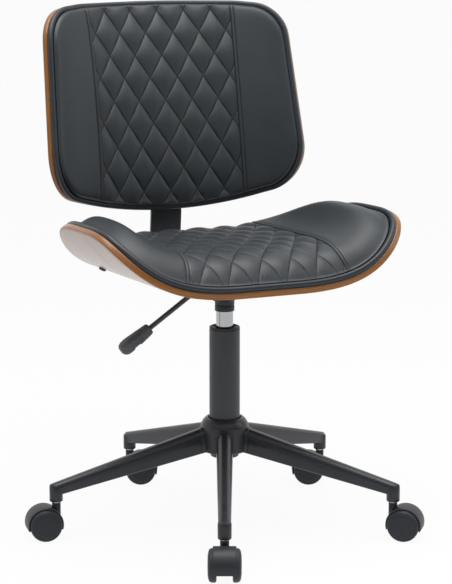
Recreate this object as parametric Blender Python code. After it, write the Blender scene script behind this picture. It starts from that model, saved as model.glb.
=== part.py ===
"""Office chair: bentwood seat and back shells with quilted pads, a gas lift, and a five-leg base
on twin-wheel casters. Metres, +Z up. The chair faces -Y and the origin is on the floor."""

import math

import bmesh
import bpy
from mathutils import Matrix, Vector
from mathutils.geometry import delaunay_2d_cdt

# Clearances
GAP = 0.0003            # between pieces that touch
RUN = 0.0006            # round a wheel, inside its fender

# Where the column's axis stands, measured from the middle of the whole chair's outline
COLUMN_X = 0.0350
COLUMN_Y = 0.0010

# Five-leg base
LEGS = 5
BASE_TURN = -114.0      # degrees, the heading of the first leg
LEG_REACH = 0.285       # column axis to caster stem
LEG_START = 0.030
LEG_TOP_IN, LEG_LOW_IN = 0.166, 0.1235
LEG_TOP_OUT, LEG_LOW_OUT = 0.092, 0.071
LEG_WIDTH_IN, LEG_WIDTH_OUT = 0.028, 0.020
LEG_WALL = 0.0018
SOCKET_RADIUS = 0.01075
SOCKET_LOW = 0.0625
HUB_RADIUS = 0.040
HUB_TOP = 0.1785
HUB_LIP = 0.003
HUB_MOUTH = 0.027

# Casters
WHEEL_RADIUS = 0.026
WHEEL_SIDES = 20
WHEEL_INNER = 0.0122    # from the caster's middle plane to the wheel's inner face
WHEEL_TREAD = 0.0075
WHEEL_DOME = 0.0063
FENDER_WALL = 0.0025
FENDER_HALF = 0.018
FENDER_LOW = 0.018
TRAIL = 0.020           # stem axis to axle
TRAIL_HEADINGS = (-114.0, -40.0, 156.0, -24.0, 172.0)
AXLE_RADIUS = 0.0025
AXLE_END_GAP = 0.001
STEM_RADIUS = 0.0055
STEM_COLLAR_RADIUS = 0.0062
BOSS_RADIUS = 0.0070
BOSS_TOP = 0.0575
STEM_SINK = 0.020       # how far the stem goes down into the boss
STEM_RISE = 0.024       # how far it goes up into the leg's socket

# Gas lift
TUBE_RADIUS = 0.025
TUBE_WALL = 0.0018
TUBE_LOW = 0.113
TUBE_FLOOR = 0.003
TUBE_TOP = 0.3217
SLEEVE_TOP = 0.330
SLEEVE_LENGTH = 0.068
CYLINDER_RADIUS = 0.014
CYLINDER_WALL = 0.0018
CYLINDER_LOW = 0.160
CYLINDER_TOP = 0.380
GLAND = 0.015
LIFT_TRAVEL = 0.100
PISTON = 0.010
ROD_RADIUS = 0.0047
ROD_LOW = 0.108
ROD_SHOULDER = 0.008
SHOULDER_HEIGHT = 0.0035
BEARING_RADIUS = 0.012
BEARING_HEIGHT = 0.005
CLIP_RADIUS = 0.009
CLIP_HEIGHT = 0.0022
BUTTON_RADIUS = 0.0035
BUTTON_SINK = 0.010
ROUND_SIDES = 24

# Mechanism under the seat
BUSH_RADIUS = 0.016
BUSH_LOW = 0.356
BUSH_FLARE = 0.020
HOUSING_X = 0.030
HOUSING_Y = 0.028
HOUSING_LOW = 0.3785
HOUSING_SHEET = 0.0022
PLATE_X = 0.046
PLATE_Y = 0.060
PLATE_SHEET = 0.003

# Lever
LEVER_Z = 0.3885
LEVER_RADIUS = 0.004
LEVER_PIVOT_X = -HOUSING_X
LEVER_BEND_X = -0.056
LEVER_DROP = 34.0       # degrees below level
LEVER_ROD = 0.103       # from the bend to the paddle
PADDLE_LENGTH = 0.055
PADDLE_WIDTH = 0.021
PADDLE_THICK = 0.018
PADDLE_SLEEVE = 0.012

# Bentwood seat shell
PLY = 0.011
SEAT_HALF_WIDTH = 0.255
SEAT_MIDDLE_Y = -0.024
SEAT_FRONT = 0.158
SEAT_REAR = 0.220
SEAT_FRONT_ROUND = 4.7  # how square the outline is, 2 is an ellipse
SEAT_REAR_ROUND = 3.2
SEAT_Z = 0.415          # upper face of the shell over the column
SEAT_TILT = 2.2         # degrees, the rear is lower
SEAT_FLAT = 0.050       # half-width of the flat middle
WING_RISE = 0.90
WING_CURL = 35.0

# Bentwood back shell
BACK_PLY = 0.009
BACK_Z = 0.660
BACK_SETBACK = 0.267
BACK_RECLINE = 10.9     # degrees
BACK_TOP = 0.182
BACK_LOW = -0.172
BACK_TOP_HALF = 0.231
BACK_LOW_HALF = 0.252
BACK_TOP_BOW = 0.013
BACK_LOW_BOW = 0.038
BACK_TOP_CORNER = 0.056
BACK_LOW_CORNER = 0.060
BACK_BEND = 2.645       # curvature where the bend starts, 1/m
BACK_CURL = 27.9        # how much more it bends towards the sides
BACK_FLAT = 0.030       # half-width of the flat middle

# Pads
PIPE_RADIUS = 0.0042
PIPE_INSET = 0.0048
PAD_INSET = 0.0095
PAD_RIM = 0.010
SEAT_PAD_MIDDLE = 0.058
SEAT_PAD_WING = 0.051
# How far in from its edge a pad reaches its full height: sides, front or lower end, other end
SEAT_PAD_ROLL = (0.030, 0.085, 0.060)
BACK_PAD_MIDDLE = 0.030
BACK_PAD_ROLL = (0.035, 0.040, 0.040)
PANEL_HALF = 0.139
DIAMOND_WIDTH = 0.050
DIAMOND_LENGTH = 0.077
QUILT_START = 0.0115    # where a diamond point lies, up the middle
CHANNEL = 0.003
SIDE_DRAW = 0.0015

# Back bracket
BAR_WIDTH = 0.056
BAR_THICK = 0.006
BAR_START_Y = 0.100
BAR_BEND_RADIUS = 0.028
BAR_UPRIGHT_Y = 0.250
BAR_TOP_V = 0.010       # upper end, measured up the back from the shell's middle

# Bolts
BOLT_RADIUS = 0.003
BOLT_HOLE = BOLT_RADIUS + GAP
BOLT_HEAD_RADIUS = 0.0065
BOLT_HEAD = 0.0035
BOLT_BITE = 0.006       # how far a bolt goes into the ply
BACK_BOLTS = (-0.110, -0.040)
BRACKET_BOLTS = (0.115, 0.165)
PLATE_BOLT_X = 0.038
PLATE_BOLT_Y = 0.050
SCREW_X = 0.178
SCREW_Y = 0.072
BOLT_SIDES = 10


for old in list(bpy.data.objects):
    bpy.data.objects.remove(old, do_unlink=True)


# Materials


def material(name, colour, roughness, metallic=0.0):
    found = bpy.data.materials.new(name)
    found.use_nodes = True
    shader = found.node_tree.nodes["Principled BSDF"]
    shader.inputs["Base Color"].default_value = (*colour, 1.0)
    shader.inputs["Roughness"].default_value = roughness
    shader.inputs["Metallic"].default_value = metallic
    return found


LEATHER = material("black_leather", (0.045, 0.050, 0.053), 0.42)
PIPING = material("piping_leather", (0.030, 0.034, 0.040), 0.40)
WALNUT = material("walnut_veneer", (0.40, 0.17, 0.055), 0.30)
BLACK_STEEL = material("black_painted_steel", (0.030, 0.031, 0.033), 0.40, 0.1)
CHROME = material("chrome", (0.62, 0.64, 0.65), 0.18, 1.0)
STEEL = material("bright_steel", (0.45, 0.45, 0.46), 0.35, 1.0)
BLACK_PLASTIC = material("black_plastic", (0.032, 0.034, 0.036), 0.55)
WHEEL_PLASTIC = material("wheel_plastic", (0.040, 0.043, 0.045), 0.60)


# Shapes


def mesh_of(verts, faces, name="shape"):
    """A closed mesh from corner lists, with its faces pointing out."""
    made = bpy.data.meshes.new(name)
    made.from_pydata([tuple(v) for v in verts], [], faces)
    work = bmesh.new()
    work.from_mesh(made)
    bmesh.ops.remove_doubles(work, verts=work.verts, dist=1e-7)
    bmesh.ops.recalc_face_normals(work, faces=work.faces)
    work.to_mesh(made)
    work.free()
    return made


def turned(profile, sides):
    """Turn (radius, height) points about Z. A profile that starts and ends on the axis is solid."""
    solid = profile[0][0] == 0.0
    rows = profile[1:-1] if solid else profile
    verts, faces = [], []
    for radius, z in rows:
        for k in range(sides):
            a = 2 * math.pi * (k + 0.5) / sides
            verts.append((radius * math.cos(a), radius * math.sin(a), z))
    count = len(rows)
    last = count - 1 if solid else count
    for i in range(last):
        for k in range(sides):
            n = (k + 1) % sides
            j = (i + 1) % count
            faces.append((i * sides + k, i * sides + n, j * sides + n, j * sides + k))
    if solid:
        for row, (_, z) in ((0, profile[0]), (count - 1, profile[-1])):
            verts.append((0.0, 0.0, z))
            pole = len(verts) - 1
            for k in range(sides):
                faces.append((pole, row * sides + k, row * sides + (k + 1) % sides))
    return mesh_of(verts, faces)


def ring(inner, outer, low, high, sides):
    return turned([(outer, high), (outer, low), (inner, low), (inner, high)], sides)


def rod(radius, low, high, sides):
    return turned([(0.0, high), (radius, high), (radius, low), (0.0, low)], sides)


def box(x0, x1, y0, y1, z0, z1):
    verts = [(x, y, z) for x in (x0, x1) for y in (y0, y1) for z in (z0, z1)]
    faces = [(0, 1, 3, 2), (4, 6, 7, 5), (0, 4, 5, 1), (2, 3, 7, 6), (0, 2, 6, 4), (1, 5, 7, 3)]
    return mesh_of(verts, faces)


def loft(rows):
    """Join rings of equally many points, with flat ends."""
    sides = len(rows[0])
    verts = [p for row in rows for p in row]
    faces = []
    for i in range(len(rows) - 1):
        for k in range(sides):
            n = (k + 1) % sides
            faces.append((i * sides + k, i * sides + n, (i + 1) * sides + n, (i + 1) * sides + k))
    faces.append(tuple(range(sides)))
    faces.append(tuple(range((len(rows) - 1) * sides, len(rows) * sides)))
    return mesh_of(verts, faces)


def placed(mesh, matrix):
    moved = mesh.copy()
    moved.transform(matrix)
    return moved


def combined(mesh, steps):
    """Apply a row of exact booleans to a mesh and return the result."""
    base = bpy.data.objects.new("combined", mesh.copy())
    bpy.context.collection.objects.link(base)
    tools = []
    for operation, tool_mesh in steps:
        tool = bpy.data.objects.new("tool", tool_mesh)
        bpy.context.collection.objects.link(tool)
        step = base.modifiers.new(operation, "BOOLEAN")
        step.operation = operation
        step.solver = "EXACT"
        step.object = tool
        tools.append(tool)
    graph = bpy.context.evaluated_depsgraph_get()
    result = bpy.data.meshes.new_from_object(base.evaluated_get(graph))
    for used in [base, *tools]:
        bpy.data.objects.remove(used, do_unlink=True)
    return result


def piece(name, mesh, finish, parent, place=None, smooth=35.0):
    """Make the named object, hung from its empty."""
    mesh.name = name
    mesh.materials.clear()
    mesh.materials.append(finish)
    if smooth:
        mesh.shade_smooth()
        mesh.set_sharp_from_angle(angle=math.radians(smooth))
    made = bpy.data.objects.new(name, mesh)
    bpy.context.collection.objects.link(made)
    made.parent = parent
    if place is not None:
        made.matrix_local = place
    return made


def empty(name, parent=None, place=None):
    made = bpy.data.objects.new(name, None)
    bpy.context.collection.objects.link(made)
    made.parent = parent
    if place is not None:
        made.matrix_local = place
    return made


def at(x, y, z):
    return Matrix.Translation((x, y, z))


def turn(degrees, axis):
    return Matrix.Rotation(math.radians(degrees), 4, axis)


# Bent sheets


class Bend:
    """A sheet bent across its width. It is flat between its fold lines, so that what lies on it fits."""

    def __init__(self, folds, shape):
        self.folds = [-t for t in reversed(folds) if t > 0.0] + list(folds)
        self.rows = [shape(t) for t in self.folds]

    def at(self, t, off=0.0):
        """Across and height of the point at t, lifted by off along the sheet's normal."""
        k = 0
        while k < len(self.folds) - 2 and t > self.folds[k + 1]:
            k += 1
        s = (t - self.folds[k]) / (self.folds[k + 1] - self.folds[k])
        x, z, lean = (a + (b - a) * s for a, b in zip(self.rows[k], self.rows[k + 1]))
        return x - off * math.sin(lean), z + off * math.cos(lean)


def seat_shape(t):
    past = max(abs(t) - SEAT_FLAT, 0.0)
    height = WING_RISE * past ** 2 + WING_CURL * past ** 4
    slope = 2 * WING_RISE * past + 4 * WING_CURL * past ** 3
    return t, height, math.copysign(math.atan(slope), t)


def back_shape(t):
    steps = 40
    x = z = 0.0
    past = max(abs(t) - BACK_FLAT, 0.0)
    for k in range(steps):
        s = past * (k + 0.5) / steps
        heading = BACK_BEND * s + BACK_CURL * s ** 3
        x += math.cos(heading) * past / steps
        z += math.sin(heading) * past / steps
    lean = BACK_BEND * past + BACK_CURL * past ** 3
    return math.copysign(min(abs(t), BACK_FLAT) + x, t), z, math.copysign(lean, t)


def even_folds(flat, half, count):
    """Fold lines from the flat middle to the edge."""
    return [flat + (half - flat) * k / count for k in range(count + 1)]


SEAT_BEND = Bend(even_folds(SEAT_FLAT, SEAT_HALF_WIDTH, 8), seat_shape)
BACK_BEND_SHEET = Bend(even_folds(BACK_FLAT, BACK_LOW_HALF, 8), back_shape)


def seat_outline(inset, least=0.006, count=15):
    """The seat's outline, anticlockwise, from its left tip along the front."""
    half = SEAT_HALF_WIDTH - inset
    points = []
    for depth, power, side in ((SEAT_FRONT, SEAT_FRONT_ROUND, -1), (SEAT_REAR, SEAT_REAR_ROUND, 1)):
        for k in range(2 * count):
            a = math.pi * k / (2 * count)
            c, s = math.cos(a), math.sin(a)
            x = math.copysign(abs(c) ** (2 / power), -c if side < 0 else c) * half
            y = SEAT_MIDDLE_Y + side * (depth - inset) * s ** (2 / power)
            points.append((x, y))
    return folded(thinned(points, least), SEAT_BEND)


def thinned(points, least):
    """Leave out points that lie closer together than least."""
    kept = [points[0]]
    for p in points[1:]:
        if math.dist(p, kept[-1]) >= least and math.dist(p, kept[0]) >= least:
            kept.append(p)
    return kept


def folded(outline, bend, near=0.0015):
    """The outline with a point wherever it crosses a fold line of the sheet."""
    snapped = []
    for t, v in outline:
        close = min(bend.folds, key=lambda fold: abs(fold - t))
        snapped.append((close, v) if abs(close - t) < near else (t, v))
    result = []
    for a, b in zip(snapped, snapped[1:] + snapped[:1]):
        result.append(a)
        crossed = [t for t in bend.folds if min(a[0], b[0]) + 1e-6 < t < max(a[0], b[0]) - 1e-6]
        for t in sorted(crossed, reverse=a[0] > b[0]):
            s = (t - a[0]) / (b[0] - a[0])
            result.append((t, a[1] + (b[1] - a[1]) * s))
    return result


def fold_lines(outline, bend):
    """The sheet's fold lines between the outline points that lie on them."""
    lines = []
    for t in bend.folds:
        on = sorted((p for p in outline if abs(p[0] - t) < 1e-6), key=lambda p: p[1])
        if len(on) > 1 and on[-1][1] - on[0][1] > 0.004:
            lines.append((on[0], on[-1]))
    return lines


def arc_corner(before, corner, after, reach, count=6):
    """A rounded corner that starts and ends reach away from the corner."""
    c = Vector(corner)
    start = c + (Vector(before) - c).normalized() * reach
    end = c + (Vector(after) - c).normalized() * reach
    pull = 0.56
    for k in range(count + 1):
        s = k / count
        a = start.lerp(start.lerp(c, pull), s)
        b = start.lerp(c, pull).lerp(end.lerp(c, pull), s)
        d = end.lerp(c, pull).lerp(end, s)
        yield tuple(a.lerp(b, s).lerp(b.lerp(d, s), s))


def back_outline(inset, least=0.006):
    """The back's outline, anticlockwise from the middle of its lower edge."""
    low, top = BACK_LOW + inset, BACK_TOP - inset
    low_half, top_half = BACK_LOW_HALF - inset, BACK_TOP_HALF - inset
    low_corner = (low_half, low + BACK_LOW_BOW)
    top_corner = (top_half, top - BACK_TOP_BOW)
    folds = [0.0] + [t for t in BACK_BEND_SHEET.folds if t > 0.0]
    half = []
    for t in folds:
        if t < low_half - BACK_LOW_CORNER - 0.004:
            half.append((t, low + BACK_LOW_BOW * (t / low_half) ** 2))
    edge = (low_half * 0.9, low + BACK_LOW_BOW * 0.81)
    half += arc_corner(edge, low_corner, top_corner, BACK_LOW_CORNER)
    rounded = list(arc_corner(low_corner, top_corner, (0.0, top), BACK_TOP_CORNER))
    for k in (1, 2):
        half.append(tuple(Vector(half[-1]).lerp(Vector(rounded[0]), 1 / (4 - k))))
    half += rounded
    for t in reversed(folds):
        if t < top_half - BACK_TOP_CORNER - 0.004:
            half.append((t, top - BACK_TOP_BOW * (t / top_half) ** 2))
    return folded(thinned(half + [(-x, y) for x, y in reversed(half[1:-1])], least), BACK_BEND_SHEET)


def edge_distance(p, outline):
    """How far inside a convex outline a point lies."""
    least = 1.0
    for a, b in zip(outline, outline[1:] + outline[:1]):
        length = math.dist(a, b)
        least = min(least, ((b[0] - a[0]) * (p[1] - a[1]) - (b[1] - a[1]) * (p[0] - a[0])) / length)
    return least


def clipped(start, end, outline):
    """The part of a line that lies inside a convex outline, or None."""
    low, high = 0.0, 1.0
    for a, b in zip(outline, outline[1:] + outline[:1]):
        nx, ny = -(b[1] - a[1]), b[0] - a[0]
        inside = nx * (start[0] - a[0]) + ny * (start[1] - a[1])
        slope = nx * (end[0] - start[0]) + ny * (end[1] - start[1])
        if abs(slope) < 1e-12:
            if inside < 0:
                return None
            continue
        s = -inside / slope
        if slope > 0:
            low = max(low, s)
        else:
            high = min(high, s)
    if low >= high:
        return None
    return [(start[0] + (end[0] - start[0]) * s, start[1] + (end[1] - start[1]) * s) for s in (low, high)]


def triangulated(outline, lines=(), points=()):
    """Triangles inside the outline, with the lines as edges."""
    verts = [Vector(p) for p in outline]
    edges = []
    for a, b in lines:
        edges.append((len(verts), len(verts) + 1))
        verts += [Vector(a), Vector(b)]
    verts += [Vector(p) for p in points]
    found, _, faces, *_ = delaunay_2d_cdt(verts, edges, [list(range(len(outline)))], 1, 1e-6)
    return [tuple(v) for v in found], [tuple(f) for f in faces]


def boundary(verts, outline):
    """The number of each outline point among the triangulated points."""
    return [min(range(len(verts)), key=lambda i: math.dist(verts[i], p)) for p in outline]


def sheet_solid(outline, bend, low_off, top, waist, waist_off):
    """Close a body between a bent sheet's surface and a top. waist is the outline halfway up its side."""
    top_points, top_faces, top_flat = top
    low_verts, low_faces = triangulated(outline, fold_lines(outline, bend))
    points = list(top_points)
    start_low = len(points)
    for t, v in low_verts:
        x, z = bend.at(t, low_off)
        points.append((x, v, z))
    start_waist = len(points)
    for t, v in waist:
        x, z = bend.at(t, waist_off)
        points.append((x, v, z))
    faces = list(top_faces) + [tuple(start_low + i for i in f) for f in low_faces]
    upper = boundary(top_flat, outline)
    lower = [start_low + i for i in boundary(low_verts, outline)]
    middle = [start_waist + k for k in range(len(outline))]
    for one, two in ((upper, middle), (middle, lower)):
        for k in range(len(outline)):
            n = (k + 1) % len(outline)
            faces.append((one[k], one[n], two[n], two[k]))
    return mesh_of(points, faces)


def shrunk(outline, inset):
    """The outline drawn in towards its middle by about inset."""
    cx = sum(p[0] for p in outline) / len(outline)
    cy = sum(p[1] for p in outline) / len(outline)
    moved = []
    for x, y in outline:
        away = math.dist((x, y), (cx, cy))
        s = 1 - inset / away
        moved.append((cx + (x - cx) * s, cy + (y - cy) * s))
    return moved


def shell(outline, bend, ply):
    """A moulded ply shell: the bent sheet below its upper face."""
    flat, faces = triangulated(outline, fold_lines(outline, bend))
    upper = []
    for t, v in flat:
        x, z = bend.at(t, 0.0)
        upper.append((x, v, z))
    return sheet_solid(outline, bend, -ply, (upper, faces, flat), outline, -ply / 2)


def quilt_lines(panel):
    """The two sets of slanting seams that make the diamonds, clipped to the panel."""
    lines = []
    length = max(abs(p[1]) for p in panel) + 2 * DIAMOND_LENGTH
    across = length * DIAMOND_WIDTH / DIAMOND_LENGTH
    count = int((PANEL_HALF + across) / DIAMOND_WIDTH) + 2
    for k in range(-count, count + 1):
        x = k * DIAMOND_WIDTH
        for side in (-1, 1):
            start = (x - side * across, QUILT_START - length)
            line = clipped(start, (x + side * across, QUILT_START + length), panel)
            if line and math.dist(*line) > 0.01:
                lines.append(line)
    return lines


def channel_depth(x, y):
    """How far the cover is sewn down at a point of the panel: all the way on a seam."""
    if abs(x) > PANEL_HALF + 0.001:
        return 0.0
    along = (y - QUILT_START) / DIAMOND_LENGTH
    near = 1.0
    for side in (-1, 1):
        place = x / DIAMOND_WIDTH - side * along
        near = min(near, abs(place - round(place)) * 2)
    near = min(near, (PANEL_HALF - abs(x)) / (DIAMOND_WIDTH / 2)) if abs(x) < PANEL_HALF else 0.0
    return CHANNEL * (1 - math.sin(math.pi / 2 * max(near, 0.0)))


def pad(outline, bend, thickness, roll, rings):
    """A crowned, quilted pad on a bent shell. rings are distances in from its outline."""
    panel = shrunk(outline, rings[0])
    lines = list(zip(panel, panel[1:] + panel[:1]))
    for t in (-PANEL_HALF, PANEL_HALF):
        lines.append(clipped((t, -1.0), (t, 1.0), panel))
    lines += quilt_lines(boxed(panel, PANEL_HALF))
    points = []
    for inset in rings[1:]:
        for p in shrunk(outline, inset)[::2]:
            if abs(p[0]) > PANEL_HALF + 0.008 or (inset < rings[2] and abs(p[0]) < PANEL_HALF - 0.004):
                points.append(p)
    count_x = int(PANEL_HALF / DIAMOND_WIDTH) + 1
    count_y = int(max(abs(p[1]) for p in outline) / DIAMOND_LENGTH) + 1
    for i in range(-2 * count_x, 2 * count_x + 1):
        for j in range(-2 * count_y, 2 * count_y + 1):
            x, y = i * DIAMOND_WIDTH / 2, j * DIAMOND_LENGTH / 2 + QUILT_START
            if (i + j) % 2 and abs(x) < PANEL_HALF - 0.01 and edge_distance((x, y), outline) > rings[1]:
                points.append((x, y))
                for dx, dy in ((-1, 0), (1, 0), (0, -1), (0, 1)):
                    near = (x + dx * DIAMOND_WIDTH * 0.24, y + dy * DIAMOND_LENGTH * 0.24)
                    if abs(near[0]) < PANEL_HALF - 0.006 and edge_distance(near, outline) > rings[1]:
                        points.append(near)
    for side in (-1, 1):
        x = side * (PANEL_HALF + bend.folds[-1]) / 2
        for j in range(-3, 4):
            y = j * DIAMOND_LENGTH / 2
            if edge_distance((x, y), outline) > rings[-1]:
                points.append((x, y))
    flat, faces = triangulated(outline, lines, points)
    top = []
    for x, y in flat:
        inside = max(edge_distance((x, y), outline), 0.0)
        lift = PAD_RIM + (thickness(x) - PAD_RIM) * rolled(x, y, outline, roll)
        if inside > rings[0] * 0.5:
            lift -= channel_depth(x, y) * min(inside / rings[2], 1.0)
        across, height = bend.at(x, lift)
        top.append((across, y, height))
    waist = shrunk(outline, SIDE_DRAW)
    return sheet_solid(outline, bend, GAP, (top, faces, flat), waist, (GAP + PAD_RIM) / 2)


def rolled(x, y, outline, roll):
    """The share of its full height that a pad has at a point: 0 on its outline, 1 well inside."""
    share = 1.0
    for axis, line in ((0, ((-1.0, y), (1.0, y))), (1, ((x, -1.0), (x, 1.0)))):
        found = clipped(*line, outline)
        if found is None:
            return 0.0
        here = (x, y)[axis]
        for inside, reach in ((here - found[0][axis], roll[axis]), (found[1][axis] - here, roll[axis * 2])):
            q = min(max(inside, 0.0) / reach, 1.0)
            share *= math.sqrt(1 - (1 - q) ** 2)
    return share


def boxed(outline, half):
    """The part of an outline between -half and half across."""
    kept = []
    for a, b in zip(outline, outline[1:] + outline[:1]):
        if abs(a[0]) <= half:
            kept.append(a)
        for edge in (-half, half):
            if (a[0] - edge) * (b[0] - edge) < 0:
                s = (edge - a[0]) / (b[0] - a[0])
                kept.append((edge, a[1] + (b[1] - a[1]) * s))
    cy = sum(p[1] for p in kept) / len(kept)
    return sorted(kept, key=lambda p: math.atan2(p[1] - cy, p[0]))


def piping(outline, bend, sides=6):
    """A round cord sewn along the rim, laid on the shell's edge."""
    rows = []
    count = len(outline)
    for k, (t, v) in enumerate(outline):
        before, after = Vector(outline[k - 1]), Vector(outline[(k + 1) % count])
        along = (after - before).normalized()
        out = Vector((along.y, -along.x))
        row = []
        for i in range(sides):
            a = 2 * math.pi * i / sides
            side = PIPE_RADIUS * math.cos(a)
            lift = GAP + PIPE_RADIUS * (math.cos(math.pi / sides) + math.sin(a))
            x, z = bend.at(t + out.x * side, lift)
            row.append((x, v + out.y * side, z))
        rows.append(row)
    verts = [p for row in rows for p in row]
    faces = []
    for k in range(count):
        n = (k + 1) % count
        for i in range(sides):
            j = (i + 1) % sides
            faces.append((k * sides + i, k * sides + j, n * sides + j, n * sides + i))
    return mesh_of(verts, faces)


# The frame that the pieces hang from

column = empty("column", place=at(COLUMN_X, COLUMN_Y, 0.0))
seat_carrier = empty("seat_carrier", column)
seat_plane = empty("seat_plane", seat_carrier, at(0.0, 0.0, SEAT_Z) @ turn(-SEAT_TILT, "X"))
back_plane = empty(
    "back_plane", seat_carrier, at(0.0, BACK_SETBACK, BACK_Z) @ turn(90.0 - BACK_RECLINE, "X")
)


# Bolts


def bolt(name, length, parent, place):
    """A button-head bolt. It stands on Z, its head's seat is at height 0 and its shank goes up."""
    profile = [(0.0, length), (BOLT_RADIUS, length), (BOLT_RADIUS, 0.0), (BOLT_HEAD_RADIUS, 0.0)]
    profile += [(BOLT_HEAD_RADIUS * 0.75, -BOLT_HEAD), (0.0, -BOLT_HEAD)]
    piece(name, turned(profile, BOLT_SIDES), BLACK_STEEL, parent, place)


def bolt_hole(depth_from, depth_to):
    return rod(BOLT_HOLE, depth_from, depth_to, BOLT_SIDES)


# Seat


def seat_under(t, y):
    """The place on the underside of the seat shell, with Z along the shell's normal there."""
    x, z = SEAT_BEND.at(t, -PLY)
    above = SEAT_BEND.at(t, 0.0)
    return at(x, y, z) @ turn(math.degrees(math.atan2(above[0] - x, above[1] - z)), "Y")


def make_seat():
    holes = []
    for y in BRACKET_BOLTS:
        holes.append(("DIFFERENCE", placed(bolt_hole(-0.003, BOLT_BITE + GAP), at(0.0, y, -PLY))))
    for sx in (-1, 1):
        for sy in (-1, 1):
            spot = at(sx * PLATE_BOLT_X, sy * PLATE_BOLT_Y, -PLY)
            holes.append(("DIFFERENCE", placed(bolt_hole(-0.003, BOLT_BITE + GAP), spot)))
        spot = seat_under(sx * SCREW_X, SCREW_Y)
        holes.append(("DIFFERENCE", placed(bolt_hole(-0.003, BOLT_BITE + GAP), spot)))
    board = combined(shell(seat_outline(0.0), SEAT_BEND, PLY), holes)
    piece("seat_shell", board, WALNUT, seat_plane)

    def thickness(x):
        s = min(abs(x) / (SEAT_HALF_WIDTH - PAD_INSET), 1.0)
        return SEAT_PAD_MIDDLE + (SEAT_PAD_WING - SEAT_PAD_MIDDLE) * s * s

    outline = seat_outline(PAD_INSET)
    piece("seat_cushion", pad(outline, SEAT_BEND, thickness, SEAT_PAD_ROLL, (0.010, 0.020, 0.036, 0.060)),
          LEATHER, seat_plane)
    piece("seat_piping", piping(seat_outline(PIPE_INSET, 0.014), SEAT_BEND), PIPING, seat_plane)
    for side, sx in (("left", -1), ("right", 1)):
        spot = seat_under(sx * SCREW_X, SCREW_Y) @ at(0.0, 0.0, -GAP)
        bolt(f"cushion_screw_{side}", BOLT_BITE, seat_plane, spot)


def make_back():
    holes = []
    for v in BACK_BOLTS:
        holes.append(("DIFFERENCE", placed(bolt_hole(-0.003, BOLT_BITE + GAP), at(0.0, v, -BACK_PLY))))
    board = combined(shell(back_outline(0.0), BACK_BEND_SHEET, BACK_PLY), holes)
    piece("back_shell", board, WALNUT, back_plane)
    outline = back_outline(PAD_INSET)
    piece("back_cushion", pad(outline, BACK_BEND_SHEET, lambda x: BACK_PAD_MIDDLE, BACK_PAD_ROLL,
                              (0.010, 0.018, 0.030, 0.050)), LEATHER, back_plane)
    piece("back_piping", piping(back_outline(PIPE_INSET, 0.010), BACK_BEND_SHEET), PIPING, back_plane)


# Bracket between the seat and the back


def bracket_path():
    """The bar's inner face in (y, z) of the seat carrier: under the seat, round the bend, up the back."""
    under = seat_plane.matrix_local
    face = -PLY - GAP
    first = under @ Vector((0.0, BAR_START_Y, face))
    slope = Vector((math.cos(math.radians(SEAT_TILT)), -math.sin(math.radians(SEAT_TILT))))
    rear = back_plane.matrix_local
    low = rear @ Vector((0.0, BACK_LOW + 0.004, -BACK_PLY - GAP))
    high = rear @ Vector((0.0, BAR_TOP_V, -BACK_PLY - GAP))
    run = (BAR_UPRIGHT_Y - BAR_BEND_RADIUS - first.y) / slope.x
    turn_start = Vector((first.y, first.z)) + slope * run
    centre = turn_start + Vector((-slope.y, slope.x)) * BAR_BEND_RADIUS
    points = [Vector((first.y, first.z)), turn_start]
    start_angle = -90.0 - SEAT_TILT
    end_angle = 4.0
    steps = 6
    for k in range(1, steps + 1):
        a = math.radians(start_angle + (end_angle - start_angle) * k / steps)
        points.append(centre + Vector((math.cos(a), math.sin(a))) * BAR_BEND_RADIUS)
    points.append(Vector((low.y, low.z)))
    points.append(Vector((high.y, high.z)))
    return points


def make_bracket():
    path = bracket_path()
    outer = []
    for k, p in enumerate(path):
        before = path[max(k - 1, 0)]
        after = path[min(k + 1, len(path) - 1)]
        first = (p - before).normalized() if k else (after - p).normalized()
        second = (after - p).normalized() if k < len(path) - 1 else first
        along = (first + second).normalized()
        reach = BAR_THICK / max(along.dot(second), 0.5)
        outer.append(p + Vector((along.y, -along.x)) * reach)
    rows = []
    for x in (-BAR_WIDTH / 2, BAR_WIDTH / 2):
        rows.append([(x, p.x, p.y) for p in path] + [(x, p.x, p.y) for p in reversed(outer)])
    holes = []
    for y in BRACKET_BOLTS:
        spot = seat_plane.matrix_local @ at(0.0, y, -PLY)
        holes.append(("DIFFERENCE", placed(bolt_hole(-0.02, 0.01), spot)))
    for v in BACK_BOLTS:
        spot = back_plane.matrix_local @ at(0.0, v, -BACK_PLY)
        holes.append(("DIFFERENCE", placed(bolt_hole(-0.02, 0.01), spot)))
    piece("back_bracket", combined(loft(rows), holes), BLACK_STEEL, seat_carrier, smooth=0)
    behind = -2 * GAP - BAR_THICK
    for k, y in enumerate(BRACKET_BOLTS, 1):
        bolt(f"bracket_bolt_{k}", BAR_THICK + GAP + BOLT_BITE, seat_plane, at(0.0, y, behind - PLY))
    for k, v in enumerate(BACK_BOLTS, 1):
        bolt(f"back_bolt_{k}", BAR_THICK + GAP + BOLT_BITE, back_plane, at(0.0, v, behind - BACK_PLY))


# Swivel plate, housing, bush and lever


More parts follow.
